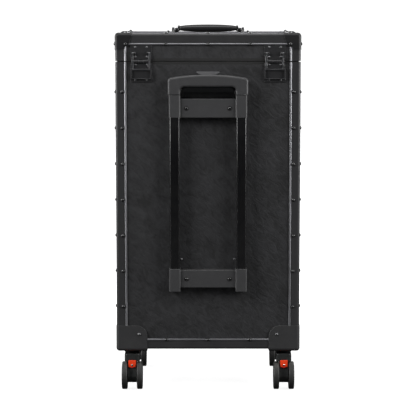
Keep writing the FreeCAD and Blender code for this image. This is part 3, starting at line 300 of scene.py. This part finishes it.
# Painted seam shadow on the leatherette.
paint_seam_shadow(leatherette)
dress(leatherette, "back_panel", "side_panels", "front_panels", "lid_top_panel", "lid_skirt",
      "bottom_drawer_front", "middle_drawer_front", "top_drawer_front", "bottom_panel")


# ---------------------------------------------------------------- lining and carcass
# The inside is plain black board faced with a fine woven felt; the deck under the top
# compartment is the same board. The rims round the mouth of the case and lid are sealed wood.
felt, given = shader_group("felt_weave", [("Vector", "vector"), ("Thread", "number")],
                           [("Height", "number"), ("Cloud", "number")])
fuzz = put(felt, "ShaderNodeTexNoise", {"Vector": given["Vector"], "Scale": given["Thread"],
                                        "Detail": 6.0, "Roughness": 0.75})
nap = put(felt, "ShaderNodeTexNoise", {"Vector": given["Vector"], "Scale": 38.0, "Detail": 3.0})
put(felt, "NodeGroupOutput", {"Height": fuzz.outputs["Fac"], "Cloud": nap.outputs["Fac"]})

streaked, given = shader_group("drawn_streaks", [("Vector", "vector"), ("Line", "number")],
                               [("Height", "number"), ("Cloud", "number")])
lines = put(streaked, "ShaderNodeTexNoise", {"Vector": given["Vector"], "Scale": given["Line"],
                                             "Detail": 4.0, "Roughness": 0.7})
bands = put(streaked, "ShaderNodeTexNoise", {"Vector": given["Vector"], "Scale": 24.0, "Detail": 3.0})
put(streaked, "NodeGroupOutput", {"Height": lines.outputs["Fac"], "Cloud": bands.outputs["Fac"]})

moulded, given = shader_group("moulded_texture", [("Vector", "vector"), ("Pit", "number")],
                              [("Height", "number"), ("Cloud", "number")])
pits = put(moulded, "ShaderNodeTexVoronoi", {"Vector": given["Vector"], "Scale": given["Pit"]},
           feature="SMOOTH_F1")
sparks = put(moulded, "ShaderNodeTexNoise", {"Vector": given["Vector"], "Scale": given["Pit"],
                                             "Detail": 3.0})
skin_height = put(moulded, "ShaderNodeMath", {0: pits.outputs["Distance"], 1: sparks.outputs["Fac"]},
                  operation="MULTIPLY")
flow = put(moulded, "ShaderNodeTexNoise", {"Vector": given["Vector"], "Scale": 55.0, "Detail": 5.0,
                                           "Roughness": 0.65})
put(moulded, "NodeGroupOutput", {"Height": skin_height.outputs[0], "Cloud": flow.outputs["Fac"]})

lining = finish("felted_board", felt, 1500.0, 0.0004,
                [(0.012, 0.012, 0.014), (0.030, 0.030, 0.034), (0.05, 0.05, 0.05)], (0.88, 0.97),
                rub_and_highlight_share=0.2, dust=0.22)
dress(lining, "compartment_floor", "bottom_drawer_tray", "middle_drawer_tray", "top_drawer_tray")
# The rim wood is coloured near black as painted shade, so that the seam groove between lid and body
# reads dark.
sealed_wood_and_seam_shade = finish("rim_wood_painted_seam_shade", streaked, 160.0, 0.0003,
                     [(0.004, 0.004, 0.004), (0.009, 0.009, 0.009), (0.03, 0.028, 0.025)], (0.55, 0.70),
                     stretch=(1.0, 1.0, 6.0))
dress(sealed_wood_and_seam_shade, "body_rim", "lid_rim")


# ---------------------------------------------------------------- corner posts and frame
# Black anodised aluminium extrusions round every edge. They are satin, with faint lines along
# their length from the die, and the black has rubbed thin on the arrises, where the paler edge is also a
# painted highlight.
anodised = finish("black_anodised_edge", streaked, 420.0, 0.00012,
                  [(0.026, 0.026, 0.027), (0.054, 0.054, 0.056), (0.20, 0.20, 0.21)], (0.30, 0.42),
                  edge_width=0.0008, rub_and_highlight_share=0.35, metallic=0.35, stretch=(1.0, 1.0, 0.06))
# Painted seam shadow on the extrusions.
paint_seam_shadow(anodised)
dress(anodised, "body_edges", "lid_edges", "front_frame")


# ---------------------------------------------------------------- silver beads
# A thin half-round aluminium bead is pressed into the inner lip of each extrusion. It is
# brushed along its length and dulled where it has been handled.
bright_bead = finish("brushed_bead", streaked, 900.0, 0.00006,
                     [(0.20, 0.20, 0.21), (0.38, 0.38, 0.40), (0.52, 0.53, 0.55)], (0.32, 0.48),
                     edge_width=0.0004, rub_and_highlight_share=0.3, metallic=1.0, dust=0.05)
dress(bright_bead, "body_trim", "lid_trim")


# ---------------------------------------------------------------- corner guards and protectors
# The lower guards are moulded nylon with a fine spark texture, screwed on; the lid's corners
# are black coated steel pressings with a bright edge where they meet the bead, part cut edge and part
# painted highlight.
guard_nylon = finish("textured_nylon", moulded, 1500.0, 0.00022,
                     [(0.016, 0.016, 0.017), (0.027, 0.027, 0.028), (0.075, 0.075, 0.078)],
                     (0.50, 0.62), edge_width=0.0010, rub_and_highlight_share=0.5, dust=0.16)
dress(guard_nylon, "corner_guards")
corner_steel = finish("coated_corner_steel", moulded, 900.0, 0.00010,
                      [(0.010, 0.010, 0.011), (0.017, 0.017, 0.018), (0.42, 0.42, 0.43)],
                      (0.34, 0.48), edge_width=0.0008, rub_and_highlight_share=0.55, metallic=0.3)
dress(corner_steel, "lid_corners")


# ---------------------------------------------------------------- rivets and screws
# Domed rivets in gloss black hold the extrusions and pull the beads in; the guards and the
# hinges are held by bright zinc heads that have started to grey.
rivet_black = finish("gloss_black_rivet", moulded, 1200.0, 0.00003,
                     [(0.004, 0.004, 0.0045), (0.009, 0.009, 0.010), (0.10, 0.10, 0.10)], (0.12, 0.24),
                     edge_width=0.0003, rub_and_highlight_share=0.1, coat=0.6)
dress(rivet_black, "body_rivets", "lid_rivets")
zinc = finish("dull_zinc", moulded, 1600.0, 0.00005,
              [(0.13, 0.13, 0.13), (0.24, 0.24, 0.25), (0.42, 0.42, 0.42)], (0.36, 0.52),
              edge_width=0.0003, rub_and_highlight_share=0.5, metallic=1.0)
dress(zinc, "guard_screws")


# ---------------------------------------------------------------- hinges, stays and latches
# Pressed steel in black plating: two hinge leaves with their wire stays at the rear, and two
# draw latches at the front whose bolts slide up behind the keepers on the lid.
plated = finish("black_plated_steel", moulded, 700.0, 0.00006,
                [(0.020, 0.020, 0.021), (0.034, 0.034, 0.036), (0.22, 0.22, 0.23)], (0.26, 0.42),
                edge_width=0.0005, rub_and_highlight_share=0.5, metallic=0.25)
dress(plated, "body_hinge_leaves", "lid_hinge_leaves", "latch_bases", "latch_keepers",
      "left_latch_bolt", "right_latch_bolt")
stay_wire = finish("worn_stay_wire", streaked, 700.0, 0.00006,
                   [(0.16, 0.16, 0.165), (0.30, 0.30, 0.31), (0.55, 0.55, 0.56)], (0.24, 0.38),
                   edge_width=0.0004, rub_and_highlight_share=0.5, metallic=1.0, stretch=(1.0, 1.0, 0.1))
dress(stay_wire, "lid_stays")


# ---------------------------------------------------------------- trolley
# Two telescopic tubes run in moulded brackets on the rear panel. The outer rails are glossy
# black, the drawn tubes inside them are bare, and the grip is a two-part moulding.
# The moulding's paler edges are partly rub wear and partly a painted highlight.
bracket_black = finish("charcoal_moulding", moulded, 1300.0, 0.00018,
                       [(0.030, 0.030, 0.031), (0.046, 0.046, 0.048), (0.17, 0.17, 0.175)],
                       (0.38, 0.50), edge_width=0.0016, rub_and_highlight_share=0.6, dust=0.12)
dress(bracket_black, "trolley_top_bracket", "trolley_bottom_bracket", "trolley_grip",
      "trolley_grip_cover")
# The paler colour at the rail corners is partly rub wear and partly a painted highlight.
rail_black = finish("gloss_black_rail", streaked, 500.0, 0.00004,
                    [(0.0015, 0.0015, 0.002), (0.0035, 0.0035, 0.004), (0.10, 0.10, 0.105)],
                    (0.16, 0.26), edge_width=0.0012, rub_and_highlight_share=0.35, coat=0.6,
                    stretch=(1.0, 1.0, 0.05))
dress(rail_black, "trolley_outer_rails")
tube_metal = finish("satin_drawn_tube", streaked, 700.0, 0.00005,
                    [(0.24, 0.245, 0.25), (0.34, 0.345, 0.35), (0.55, 0.55, 0.56)], (0.22, 0.32),
                    edge_width=0.0006, metallic=1.0, stretch=(1.0, 1.0, 0.04))
dress(tube_metal, "trolley_middle_tubes", "trolley_inner_tubes")
button_grey = finish("smooth_release_button", moulded, 1600.0, 0.00005,
                     [(0.085, 0.085, 0.088), (0.12, 0.12, 0.124), (0.22, 0.22, 0.225)],
                     (0.26, 0.36), edge_width=0.0008, rub_and_highlight_share=0.5)
dress(button_grey, "trolley_button")


# ---------------------------------------------------------------- drawers and sliding tray
# Leatherette fronts on felted boxes that run on zinc slides, each with a moulded pull, and a
# shallow divided tray of pressed black plastic that slides on ledges above them.
slide_zinc = finish("rolled_slide_zinc", streaked, 320.0, 0.00005,
                    [(0.26, 0.26, 0.265), (0.38, 0.38, 0.39), (0.58, 0.58, 0.59)], (0.30, 0.44),
                    metallic=1.0, stretch=(1.0, 0.06, 1.0))
dress(slide_zinc, "slide_rails_and_ledges")
tray_plastic = finish("pressed_tray_plastic", moulded, 1100.0, 0.00014,
                      [(0.014, 0.014, 0.015), (0.024, 0.024, 0.026), (0.07, 0.07, 0.072)],
                      (0.36, 0.50), rub_and_highlight_share=0.4, dust=0.2)
dress(tray_plastic, "sliding_tray")
gloss_moulding = finish("gloss_handle_moulding", moulded, 900.0, 0.00004,
                        [(0.004, 0.004, 0.0045), (0.008, 0.008, 0.009), (0.05, 0.05, 0.052)],
                        (0.18, 0.30), edge_width=0.0008, rub_and_highlight_share=0.2, coat=0.2)
dress(gloss_moulding, "carry_handle", "handle_brackets", "bottom_drawer_pull",
      "middle_drawer_pull", "top_drawer_pull")


# ---------------------------------------------------------------- casters
# Four twin-wheel swivel casters plug into the guards. The forks are black nylon, the tyres
# soft rubber on nylon hubs, and the orange button lets each one drop out.
tyre_rubber = finish("tyre_rubber", moulded, 1000.0, 0.00020,
                     [(0.010, 0.010, 0.010), (0.022, 0.022, 0.021), (0.05, 0.05, 0.048)],
                     (0.46, 0.66), edge_width=0.0009, rub_and_highlight_share=0.5, dust=0.30)
fork_nylon = finish("fork_nylon", moulded, 1400.0, 0.00014,
                    [(0.012, 0.013, 0.013), (0.022, 0.024, 0.023), (0.09, 0.09, 0.09)],
                    (0.28, 0.42), edge_width=0.0008, rub_and_highlight_share=0.5)
button_orange = finish("orange_button", moulded, 1500.0, 0.00006,
                       [(0.74, 0.040, 0.006), (0.88, 0.060, 0.010), (0.92, 0.20, 0.08)],
                       (0.26, 0.36), edge_width=0.0006, rub_and_highlight_share=0.35, dust=0.04)
casters = ["rear_left_caster", "rear_right_caster", "front_left_caster", "front_right_caster"]
for caster in casters:
    dress(fork_nylon, caster + "_fork")
    dress(tyre_rubber, caster + "_wheels")
    dress(button_orange, caster + "_button")


# ---------------------------------------------------------------- hinge rivet heads
# Bright pressed rivet heads on both leaves of each hinge. They are the only shiny spots on
# the hinges, set in pairs above and below the pin.
def domed_head(radius, height):
    """One rivet head, dome up, foot at the origin: a flattened ball cut off at its rim."""
    bpy.ops.object.select_all(action="DESELECT")
    bpy.ops.mesh.primitive_uv_sphere_add(segments=18, ring_count=12, radius=radius,
                                         location=(0.0, 0.0, 0.0))
    head = bpy.context.object
    bpy.ops.object.mode_set(mode="EDIT")
    bpy.ops.mesh.select_all(action="SELECT")
    bpy.ops.mesh.bisect(plane_co=(0.0, 0.0, 0.0), plane_no=(0.0, 0.0, 1.0), use_fill=True,
                        clear_inner=True)
    bpy.ops.mesh.select_all(action="SELECT")
    bpy.ops.transform.resize(value=(1.0, 1.0, height / radius), center_override=(0.0, 0.0, 0.0))
    bpy.ops.object.mode_set(mode="OBJECT")
    return head


def copies_at(piece, places, outward):
    """Copies a piece modelled at the origin, +Z up, to each place with +Z turned outward."""
    turn = Vector(outward).to_track_quat("Z", "Y").to_euler()
    made = []
    for place in places:
        bpy.ops.object.select_all(action="DESELECT")
        piece.select_set(True)
        bpy.context.view_layer.objects.active = piece
        bpy.ops.object.duplicate(linked=False)
        made.append(bpy.context.object)
        made[-1].location = place
        made[-1].rotation_euler = turn
    bpy.data.objects.remove(piece)
    return made


def joined(parts):
    """Joins several pieces into one and returns it."""
    bpy.ops.object.select_all(action="DESELECT")
    for part in parts:
        part.select_set(True)
    bpy.context.view_layer.objects.active = parts[0]
    if len(parts) > 1:
        bpy.ops.object.join()
    return bpy.context.object


def choose_faces(piece, wanted):
    """Goes into edit mode with only the faces selected that pass the test."""
    bpy.ops.object.mode_set(mode="EDIT")
    bpy.ops.mesh.select_mode(type="FACE")
    bpy.ops.mesh.select_all(action="DESELECT")
    bpy.ops.object.mode_set(mode="OBJECT")
    for face in piece.data.polygons:
        face.select = wanted(face)
    bpy.ops.object.mode_set(mode="EDIT")


def fit(piece, name, material, body, soften=35):
    """Puts a finished piece's place in its mesh, and names, dresses and hangs it."""
    bpy.ops.object.select_all(action="DESELECT")
    piece.select_set(True)
    bpy.context.view_layer.objects.active = piece
    bpy.ops.object.transform_apply(location=True, rotation=True, scale=True)
    bpy.ops.object.shade_smooth_by_angle(angle=math.radians(soften))
    piece.name = name
    piece.data.materials.clear()
    piece.data.materials.append(material)
    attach(piece, body)
    return piece


seam_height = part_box("lid_rim")[0].z
leaf_face = rear_face + 0.0018
hinge_x, head_x = 0.132, 0.0115
for body, rows in (("lid", (0.009, 0.028)), ("case_body", (-0.0065, -0.0368))):
    places = [(side * hinge_x + x, leaf_face, seam_height + z)
              for side in (-1, 1) for x in (-head_x, head_x) for z in rows]
    heads = copies_at(domed_head(0.0023, 0.0015), places, (0.0, 1.0, 0.0))
    fit(joined(heads), "hinge_heads_" + body, zinc, body)


# ---------------------------------------------------------------- rail stop rivets
# Two small bright rivets beside the rails, just over the lower bracket, hold the stop plate
# behind the panel.
low_bracket_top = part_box("trolley_bottom_bracket")[1].z
stop_x, stop_rise = 0.053, 0.0165
stops = [(side * stop_x, rear_face, low_bracket_top + stop_rise) for side in (-1, 1)]
fit(joined(copies_at(domed_head(0.0021, 0.0014), stops, (0.0, 1.0, 0.0))), "rail_stop_rivets", zinc,
    "case_body")


# ---------------------------------------------------------------- plate behind the grip
# A black plate lies on the panel behind the folded grip. It is painted shade: a dark sheet
# that stands in for the shadow in the hand opening.
def slab(corner_a, corner_b, round_off, steps=3):
    """A block between two corners with all its edges rounded."""
    low, high = Vector(corner_a), Vector(corner_b)
    bpy.ops.object.select_all(action="DESELECT")
    bpy.ops.mesh.primitive_cube_add(size=1.0, location=(low + high) / 2)
    block = bpy.context.object
    block.scale = high - low
    bpy.ops.object.transform_apply(location=False, rotation=False, scale=True)
    bpy.ops.object.mode_set(mode="EDIT")
    bpy.ops.mesh.select_all(action="SELECT")
    bpy.ops.mesh.bevel(offset=round_off, offset_type="OFFSET", segments=steps, affect="EDGES")
    bpy.ops.object.mode_set(mode="OBJECT")
    return block


grip_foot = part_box("trolley_grip")[0].z
grip_shade_plate = slab((-0.0540, rear_face, grip_foot - 0.0085), (0.0540, rear_face + 0.0012, grip_foot + 0.0190),
             0.0005)
fit(grip_shade_plate, "grip_opening_shade_plate", rail_black, "case_body")


# ---------------------------------------------------------------- trolley rails
# Each rail is a drawn oval-cornered steel tube, stove enamelled gloss black. It is open at
# both ends inside the brackets, and its rounded corners carry a thin line of light.
def open_tube(corner_a, corner_b, round_off, steps, wall):
    """An upright oblong tube with rounded corners, open at both ends."""
    tube = slab(corner_a, corner_b, round_off, steps)
    choose_faces(tube, lambda face: abs(face.normal.z) > 0.02)
    bpy.ops.mesh.delete(type="FACE")
    bpy.ops.mesh.select_all(action="SELECT")
    bpy.ops.mesh.normals_make_consistent(inside=False)
    bpy.ops.object.mode_set(mode="OBJECT")
    bpy.ops.object.modifier_add(type="SOLIDIFY")
    tube.modifiers[-1].thickness = wall
    tube.modifiers[-1].offset = -1.0
    bpy.ops.object.modifier_apply(modifier=tube.modifiers[-1].name)
    return tube


rail_low, rail_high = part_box("trolley_outer_rails")
rail_width, rail_corner, rail_wall = 0.0194, 0.0030, 0.0011
rails = []
for side in (-1, 1):
    inner, outer = sorted((side * (rail_high.x - rail_width), side * rail_high.x))
    rails.append(open_tube((inner, rail_low.y, rail_low.z), (outer, rail_high.y, rail_high.z),
                           rail_corner, 8, rail_wall))
rails = fit(joined(rails), "trolley_rails", rail_black, "case_body", soften=50)
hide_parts("trolley_outer_rails")


# ---------------------------------------------------------------- sleeve wipers and bolt rings
# A thin black rubber wiper is stretched round the top of each sleeve, under the grip. Each
# bracket bolt sits in a matt black ring, painted shade that stands in for the shadow of a counterbore.
wiper_rubber = finish("wiper_rubber", moulded, 1500.0, 0.00005,
                      [(0.002, 0.002, 0.002), (0.004, 0.004, 0.004), (0.01, 0.01, 0.01)], (0.55, 0.70),
                      edge_width=0.0003, rub_and_highlight_share=0.1, dust=0.02)
sleeve_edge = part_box("trolley_top_bracket")[1]
sleeve_width, wiper_lip, wiper_wall = 0.0224, 0.0004, 0.0012
wiper_hang, wiper_rise, panel_gap = 0.0012, 0.0003, 0.0006
wipers = []
for side in (-1, 1):
    inner, outer = sorted((side * (sleeve_edge.x - sleeve_width - wiper_lip),
                           side * (sleeve_edge.x + wiper_lip)))
    wipers.append(open_tube((inner, rear_face + panel_gap, sleeve_edge.z - wiper_hang),
                            (outer, sleeve_edge.y + wiper_lip, sleeve_edge.z + wiper_rise),
                            0.0004, 2, wiper_wall))
fit(joined(wipers), "sleeve_wipers", wiper_rubber, "case_body")
bolt_x, plate_set_back = 0.0427, 0.0050
bolt_shade_rings = []
for bracket, rise in (("trolley_top_bracket", 0.01825), ("trolley_bottom_bracket", 0.02495)):
    foot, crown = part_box(bracket)
    for side in (-1, 1):
        bpy.ops.object.select_all(action="DESELECT")
        bpy.ops.mesh.primitive_torus_add(major_radius=0.0040, minor_radius=0.0009, major_segments=36,
                                         minor_segments=10, rotation=(math.radians(90), 0.0, 0.0),
                                         location=(side * bolt_x, crown.y - plate_set_back,
                                                   foot.z + rise))
        bolt_shade_rings.append(bpy.context.object)
fit(joined(bolt_shade_rings), "bracket_bolt_shade_rings", wiper_rubber, "case_body")


# ---------------------------------------------------------------- carry handle
# The top handle is a stiff core moulded over with soft black rubber, thick in the middle and
# thin at its ends, between two gloss arms that turn on pins in the lid's brackets.
def ring_at(piece, x, reach=1e-4):
    """Selects in edit mode the ring of points that lies at x."""
    bpy.ops.object.mode_set(mode="EDIT")
    bpy.ops.mesh.select_mode(type="VERT")
    bpy.ops.mesh.select_all(action="DESELECT")
    bpy.ops.object.mode_set(mode="OBJECT")
    for point in piece.data.vertices:
        point.select = abs(point.co.x - x) < reach
    bpy.ops.object.mode_set(mode="EDIT")


handle_low, handle_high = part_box("carry_handle")
grip_y, grip_z = 0.0340, handle_high.z - 0.00775
grip_profile = [(-0.0600, 0.46), (-0.0560, 0.60), (-0.0480, 0.77), (-0.0340, 0.91), (-0.0170, 0.98),
                (0.0, 1.0), (0.0170, 0.98), (0.0340, 0.91), (0.0480, 0.77), (0.0560, 0.60),
                (0.0600, 0.46)]
bpy.ops.object.select_all(action="DESELECT")
bpy.ops.mesh.primitive_cylinder_add(vertices=28, radius=1.0, depth=0.120, end_fill_type="NGON",
                                    location=(0.0, 0.0, 0.0), rotation=(0.0, math.radians(90), 0.0))
grip = bpy.context.object
bpy.ops.object.transform_apply(location=False, rotation=True, scale=False)
for x, share in grip_profile[1:-1]:
    bpy.ops.object.mode_set(mode="EDIT")
    bpy.ops.mesh.select_all(action="SELECT")
    bpy.ops.mesh.bisect(plane_co=(x, 0.0, 0.0), plane_no=(1.0, 0.0, 0.0))
for x, share in grip_profile:
    ring_at(grip, x)
    bpy.ops.transform.resize(value=(1.0, 0.0102 * share, 0.00770 * share),
                             center_override=(x, 0.0, 0.0))
bpy.ops.object.mode_set(mode="OBJECT")
grip.location = (0.0, grip_y, grip_z)
bpy.ops.object.modifier_add(type="BEVEL")
grip.modifiers[-1].width = 0.0008
grip.modifiers[-1].segments = 2
grip.modifiers[-1].limit_method = "ANGLE"
grip.modifiers[-1].angle_limit = math.radians(50)
bpy.ops.object.modifier_apply(modifier=grip.modifiers[-1].name)
bpy.ops.object.modifier_add(type="SUBSURF")
grip.modifiers[-1].levels = grip.modifiers[-1].render_levels = 1
bpy.ops.object.modifier_apply(modifier=grip.modifiers[-1].name)
soft_rubber = finish("soft_grip_rubber", moulded, 1900.0, 0.00010,
                     [(0.006, 0.006, 0.0065), (0.013, 0.013, 0.014), (0.05, 0.05, 0.05)],
                     (0.26, 0.40), edge_width=0.0006, rub_and_highlight_share=0.2, dust=0.05)
fit(grip, "carry_grip", soft_rubber, "carry_handle", soften=60)
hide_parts("carry_handle")

pivot_z = handle_low.z + 0.0036
arms = []
for side in (-1, 1):
    inner, outer = sorted((side * 0.0585, side * 0.0680))
    arm = slab((inner, -0.0036, pivot_z - 0.0036), (outer, grip_y + 0.0062, pivot_z + 0.0048), 0.0026, 4)
    bpy.ops.mesh.primitive_cylinder_add(vertices=24, radius=0.0025, depth=0.0130,
                                        location=(side * 0.0675, 0.0, pivot_z),
                                        rotation=(0.0, math.radians(90), 0.0))
    pin = bpy.context.object
    bpy.ops.mesh.primitive_cylinder_add(vertices=28, radius=0.0056, depth=0.0048,
                                        location=(side * 0.0590, grip_y, grip_z),
                                        rotation=(0.0, math.radians(90), 0.0))
    collar = bpy.context.object
    bpy.ops.object.mode_set(mode="EDIT")
    bpy.ops.mesh.select_all(action="SELECT")
    bpy.ops.mesh.bevel(offset=0.0008, segments=2, affect="EDGES")
    bpy.ops.object.mode_set(mode="OBJECT")
    arms += [arm, pin, collar]
fit(joined(arms), "carry_arms", gloss_moulding, "carry_handle")

bracket_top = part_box("lid_top_panel")[1].z
feet = [(side * x, y, bracket_top + 0.0019) for side in (-1, 1) for x in (0.0655, 0.0805)
        for y in (-0.0125, 0.0125)]
fit(joined(copies_at(domed_head(0.0021, 0.0013), feet, (0.0, 0.0, 1.0))), "handle_bracket_rivets",
    rivet_black, "lid")


# ---------------------------------------------------------------- drawer edging and locks
# Each drawer front is framed by a thin aluminium edging strip, mitred at the corners, and has
# a small cam lock above its pull.
for drawer in ("bottom_drawer", "middle_drawer", "top_drawer"):
    low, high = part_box(drawer + "_front")
    face = low.y
    frame_strips = slab((low.x + 0.0012, face - 0.0012, low.z + 0.0012),
                        (high.x - 0.0012, face + 0.0010, high.z - 0.0012), 0.0006, 2)
    choose_faces(frame_strips, lambda side: abs(side.normal.y) > 0.99)
    bpy.ops.mesh.inset(thickness=0.0030, depth=0.0)
    bpy.ops.mesh.bridge_edge_loops()
    bpy.ops.object.mode_set(mode="OBJECT")
    fit(frame_strips, drawer + "_edging", bright_bead, drawer)

    pull_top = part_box(drawer + "_pull")[1].z
    lock_z = (pull_top + high.z) / 2
    bpy.ops.object.select_all(action="DESELECT")
    bpy.ops.mesh.primitive_cylinder_add(vertices=32, radius=0.0072, depth=0.0052,
                                        location=(0.0, face - 0.0006, lock_z),
                                        rotation=(math.radians(90), 0.0, 0.0))
    lock = bpy.context.object
    choose_faces(lock, lambda side: side.normal.z > 0.9)
    bpy.ops.mesh.inset(thickness=0.0018, depth=0.0)
    bpy.ops.mesh.inset(thickness=0.0004, depth=-0.0012)
    bpy.ops.mesh.select_all(action="SELECT")
    bpy.ops.mesh.bevel(offset=0.0003, segments=2, affect="EDGES")
    bpy.ops.object.mode_set(mode="OBJECT")
    keyway = slab((-0.0006, face - 0.0027, lock_z - 0.0028), (0.0006, face - 0.0015, lock_z + 0.0028),
                  0.0002, 1)
    fit(keyway, drawer + "_keyway", rivet_black, drawer)
    fit(lock, drawer + "_lock", zinc, drawer)


# ---------------------------------------------------------------- lid lining
# A felted board pressed into the roof of the lid, with a rolled border, hides the ends of the
# rivets.
roof_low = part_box("lid_top_panel")[0].z
skirt_low, skirt_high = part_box("lid_skirt")
wall, board_depth = 0.0058, 0.0040
lining_board = slab((skirt_low.x + wall, skirt_low.y + wall, roof_low - board_depth),
                    (skirt_high.x - wall, skirt_high.y - wall, roof_low), 0.0012, 3)
choose_faces(lining_board, lambda side: side.normal.z < -0.99)
bpy.ops.mesh.inset(thickness=0.0120, depth=0.0)
bpy.ops.mesh.inset(thickness=0.0016, depth=-0.0014)
bpy.ops.mesh.inset(thickness=0.0016, depth=0.0012)
bpy.ops.object.mode_set(mode="OBJECT")
fit(lining_board, "lid_lining", lining, "lid")


# ---------------------------------------------------------------- caster details
# Each release button has a plated spring catch low in its middle and a red tell-tale under
# it. The wheels have five-spoke caps pressed into the dish of their hubs.
chrome = finish("plated_catch", streaked, 500.0, 0.00003,
                [(0.42, 0.42, 0.43), (0.60, 0.60, 0.61), (0.80, 0.80, 0.80)], (0.10, 0.20),
                edge_width=0.0003, metallic=1.0, dust=0.03)
tell_tale = finish("red_tell_tale", moulded, 1500.0, 0.00004,
                   [(0.42, 0.012, 0.008), (0.56, 0.02, 0.012), (0.7, 0.15, 0.1)], (0.24, 0.34),
                   edge_width=0.0004, rub_and_highlight_share=0.3, dust=0.04)
cap_nylon = finish("wheel_cap_nylon", moulded, 1300.0, 0.00010,
                   [(0.020, 0.021, 0.021), (0.036, 0.037, 0.037), (0.12, 0.12, 0.12)],
                   (0.26, 0.38), edge_width=0.0006, rub_and_highlight_share=0.6, dust=0.2)
spoke_count = 5
for caster in casters:
    low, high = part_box(caster + "_button")
    outward = 1.0 if high.y > 0 else -1.0
    face = high.y if outward > 0 else low.y
    middle = (low.x + high.x) / 2
    catch = copies_at(domed_head(0.0022, 0.0012), [(middle, face - outward * 0.0001, low.z + 0.0046)],
                      (0.0, outward, 0.0))
    fit(joined(catch), caster + "_catch", chrome, caster + "_button")
    y0, y1 = sorted((face - outward * 0.0040, face + outward * 0.0002))
    tip = slab((middle - 0.0032, y0, low.z - 0.0012), (middle + 0.0032, y1, low.z + 0.0016), 0.0005, 2)
    fit(tip, caster + "_tell_tale", tell_tale, caster + "_button")

    low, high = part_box(caster + "_wheels")
    hub_y, hub_z = (low.y + high.y) / 2, (low.z + high.z) / 2
    spokes = []
    for side, x in ((-1, low.x), (1, high.x)):
        for step in range(spoke_count):
            angle = math.radians(90 + 360 / spoke_count * step)
            spoke = slab((-0.0009, -0.0021, 0.0048), (0.0009, 0.0021, 0.0186), 0.0006, 2)
            bpy.ops.object.transform_apply(location=True, rotation=False, scale=True)
            spoke.rotation_euler = (angle, 0.0, 0.0)
            spoke.location = (x - side * 0.0012, hub_y, hub_z)
            spokes.append(spoke)
        bpy.ops.mesh.primitive_torus_add(major_radius=0.0184, minor_radius=0.0009, major_segments=48,
                                         minor_segments=8, location=(x - side * 0.0011, hub_y, hub_z),
                                         rotation=(0.0, math.radians(90), 0.0))
        spokes.append(bpy.context.object)
        spokes += copies_at(domed_head(0.0046, 0.0018), [(x - side * 0.0018, hub_y, hub_z)],
                            (float(side), 0.0, 0.0))
    fit(joined(spokes), caster + "_wheel_caps", cap_nylon, caster + "_wheels")


# ---------------------------------------------------------------- outer box
# The outer box of the finished model.
low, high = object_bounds()
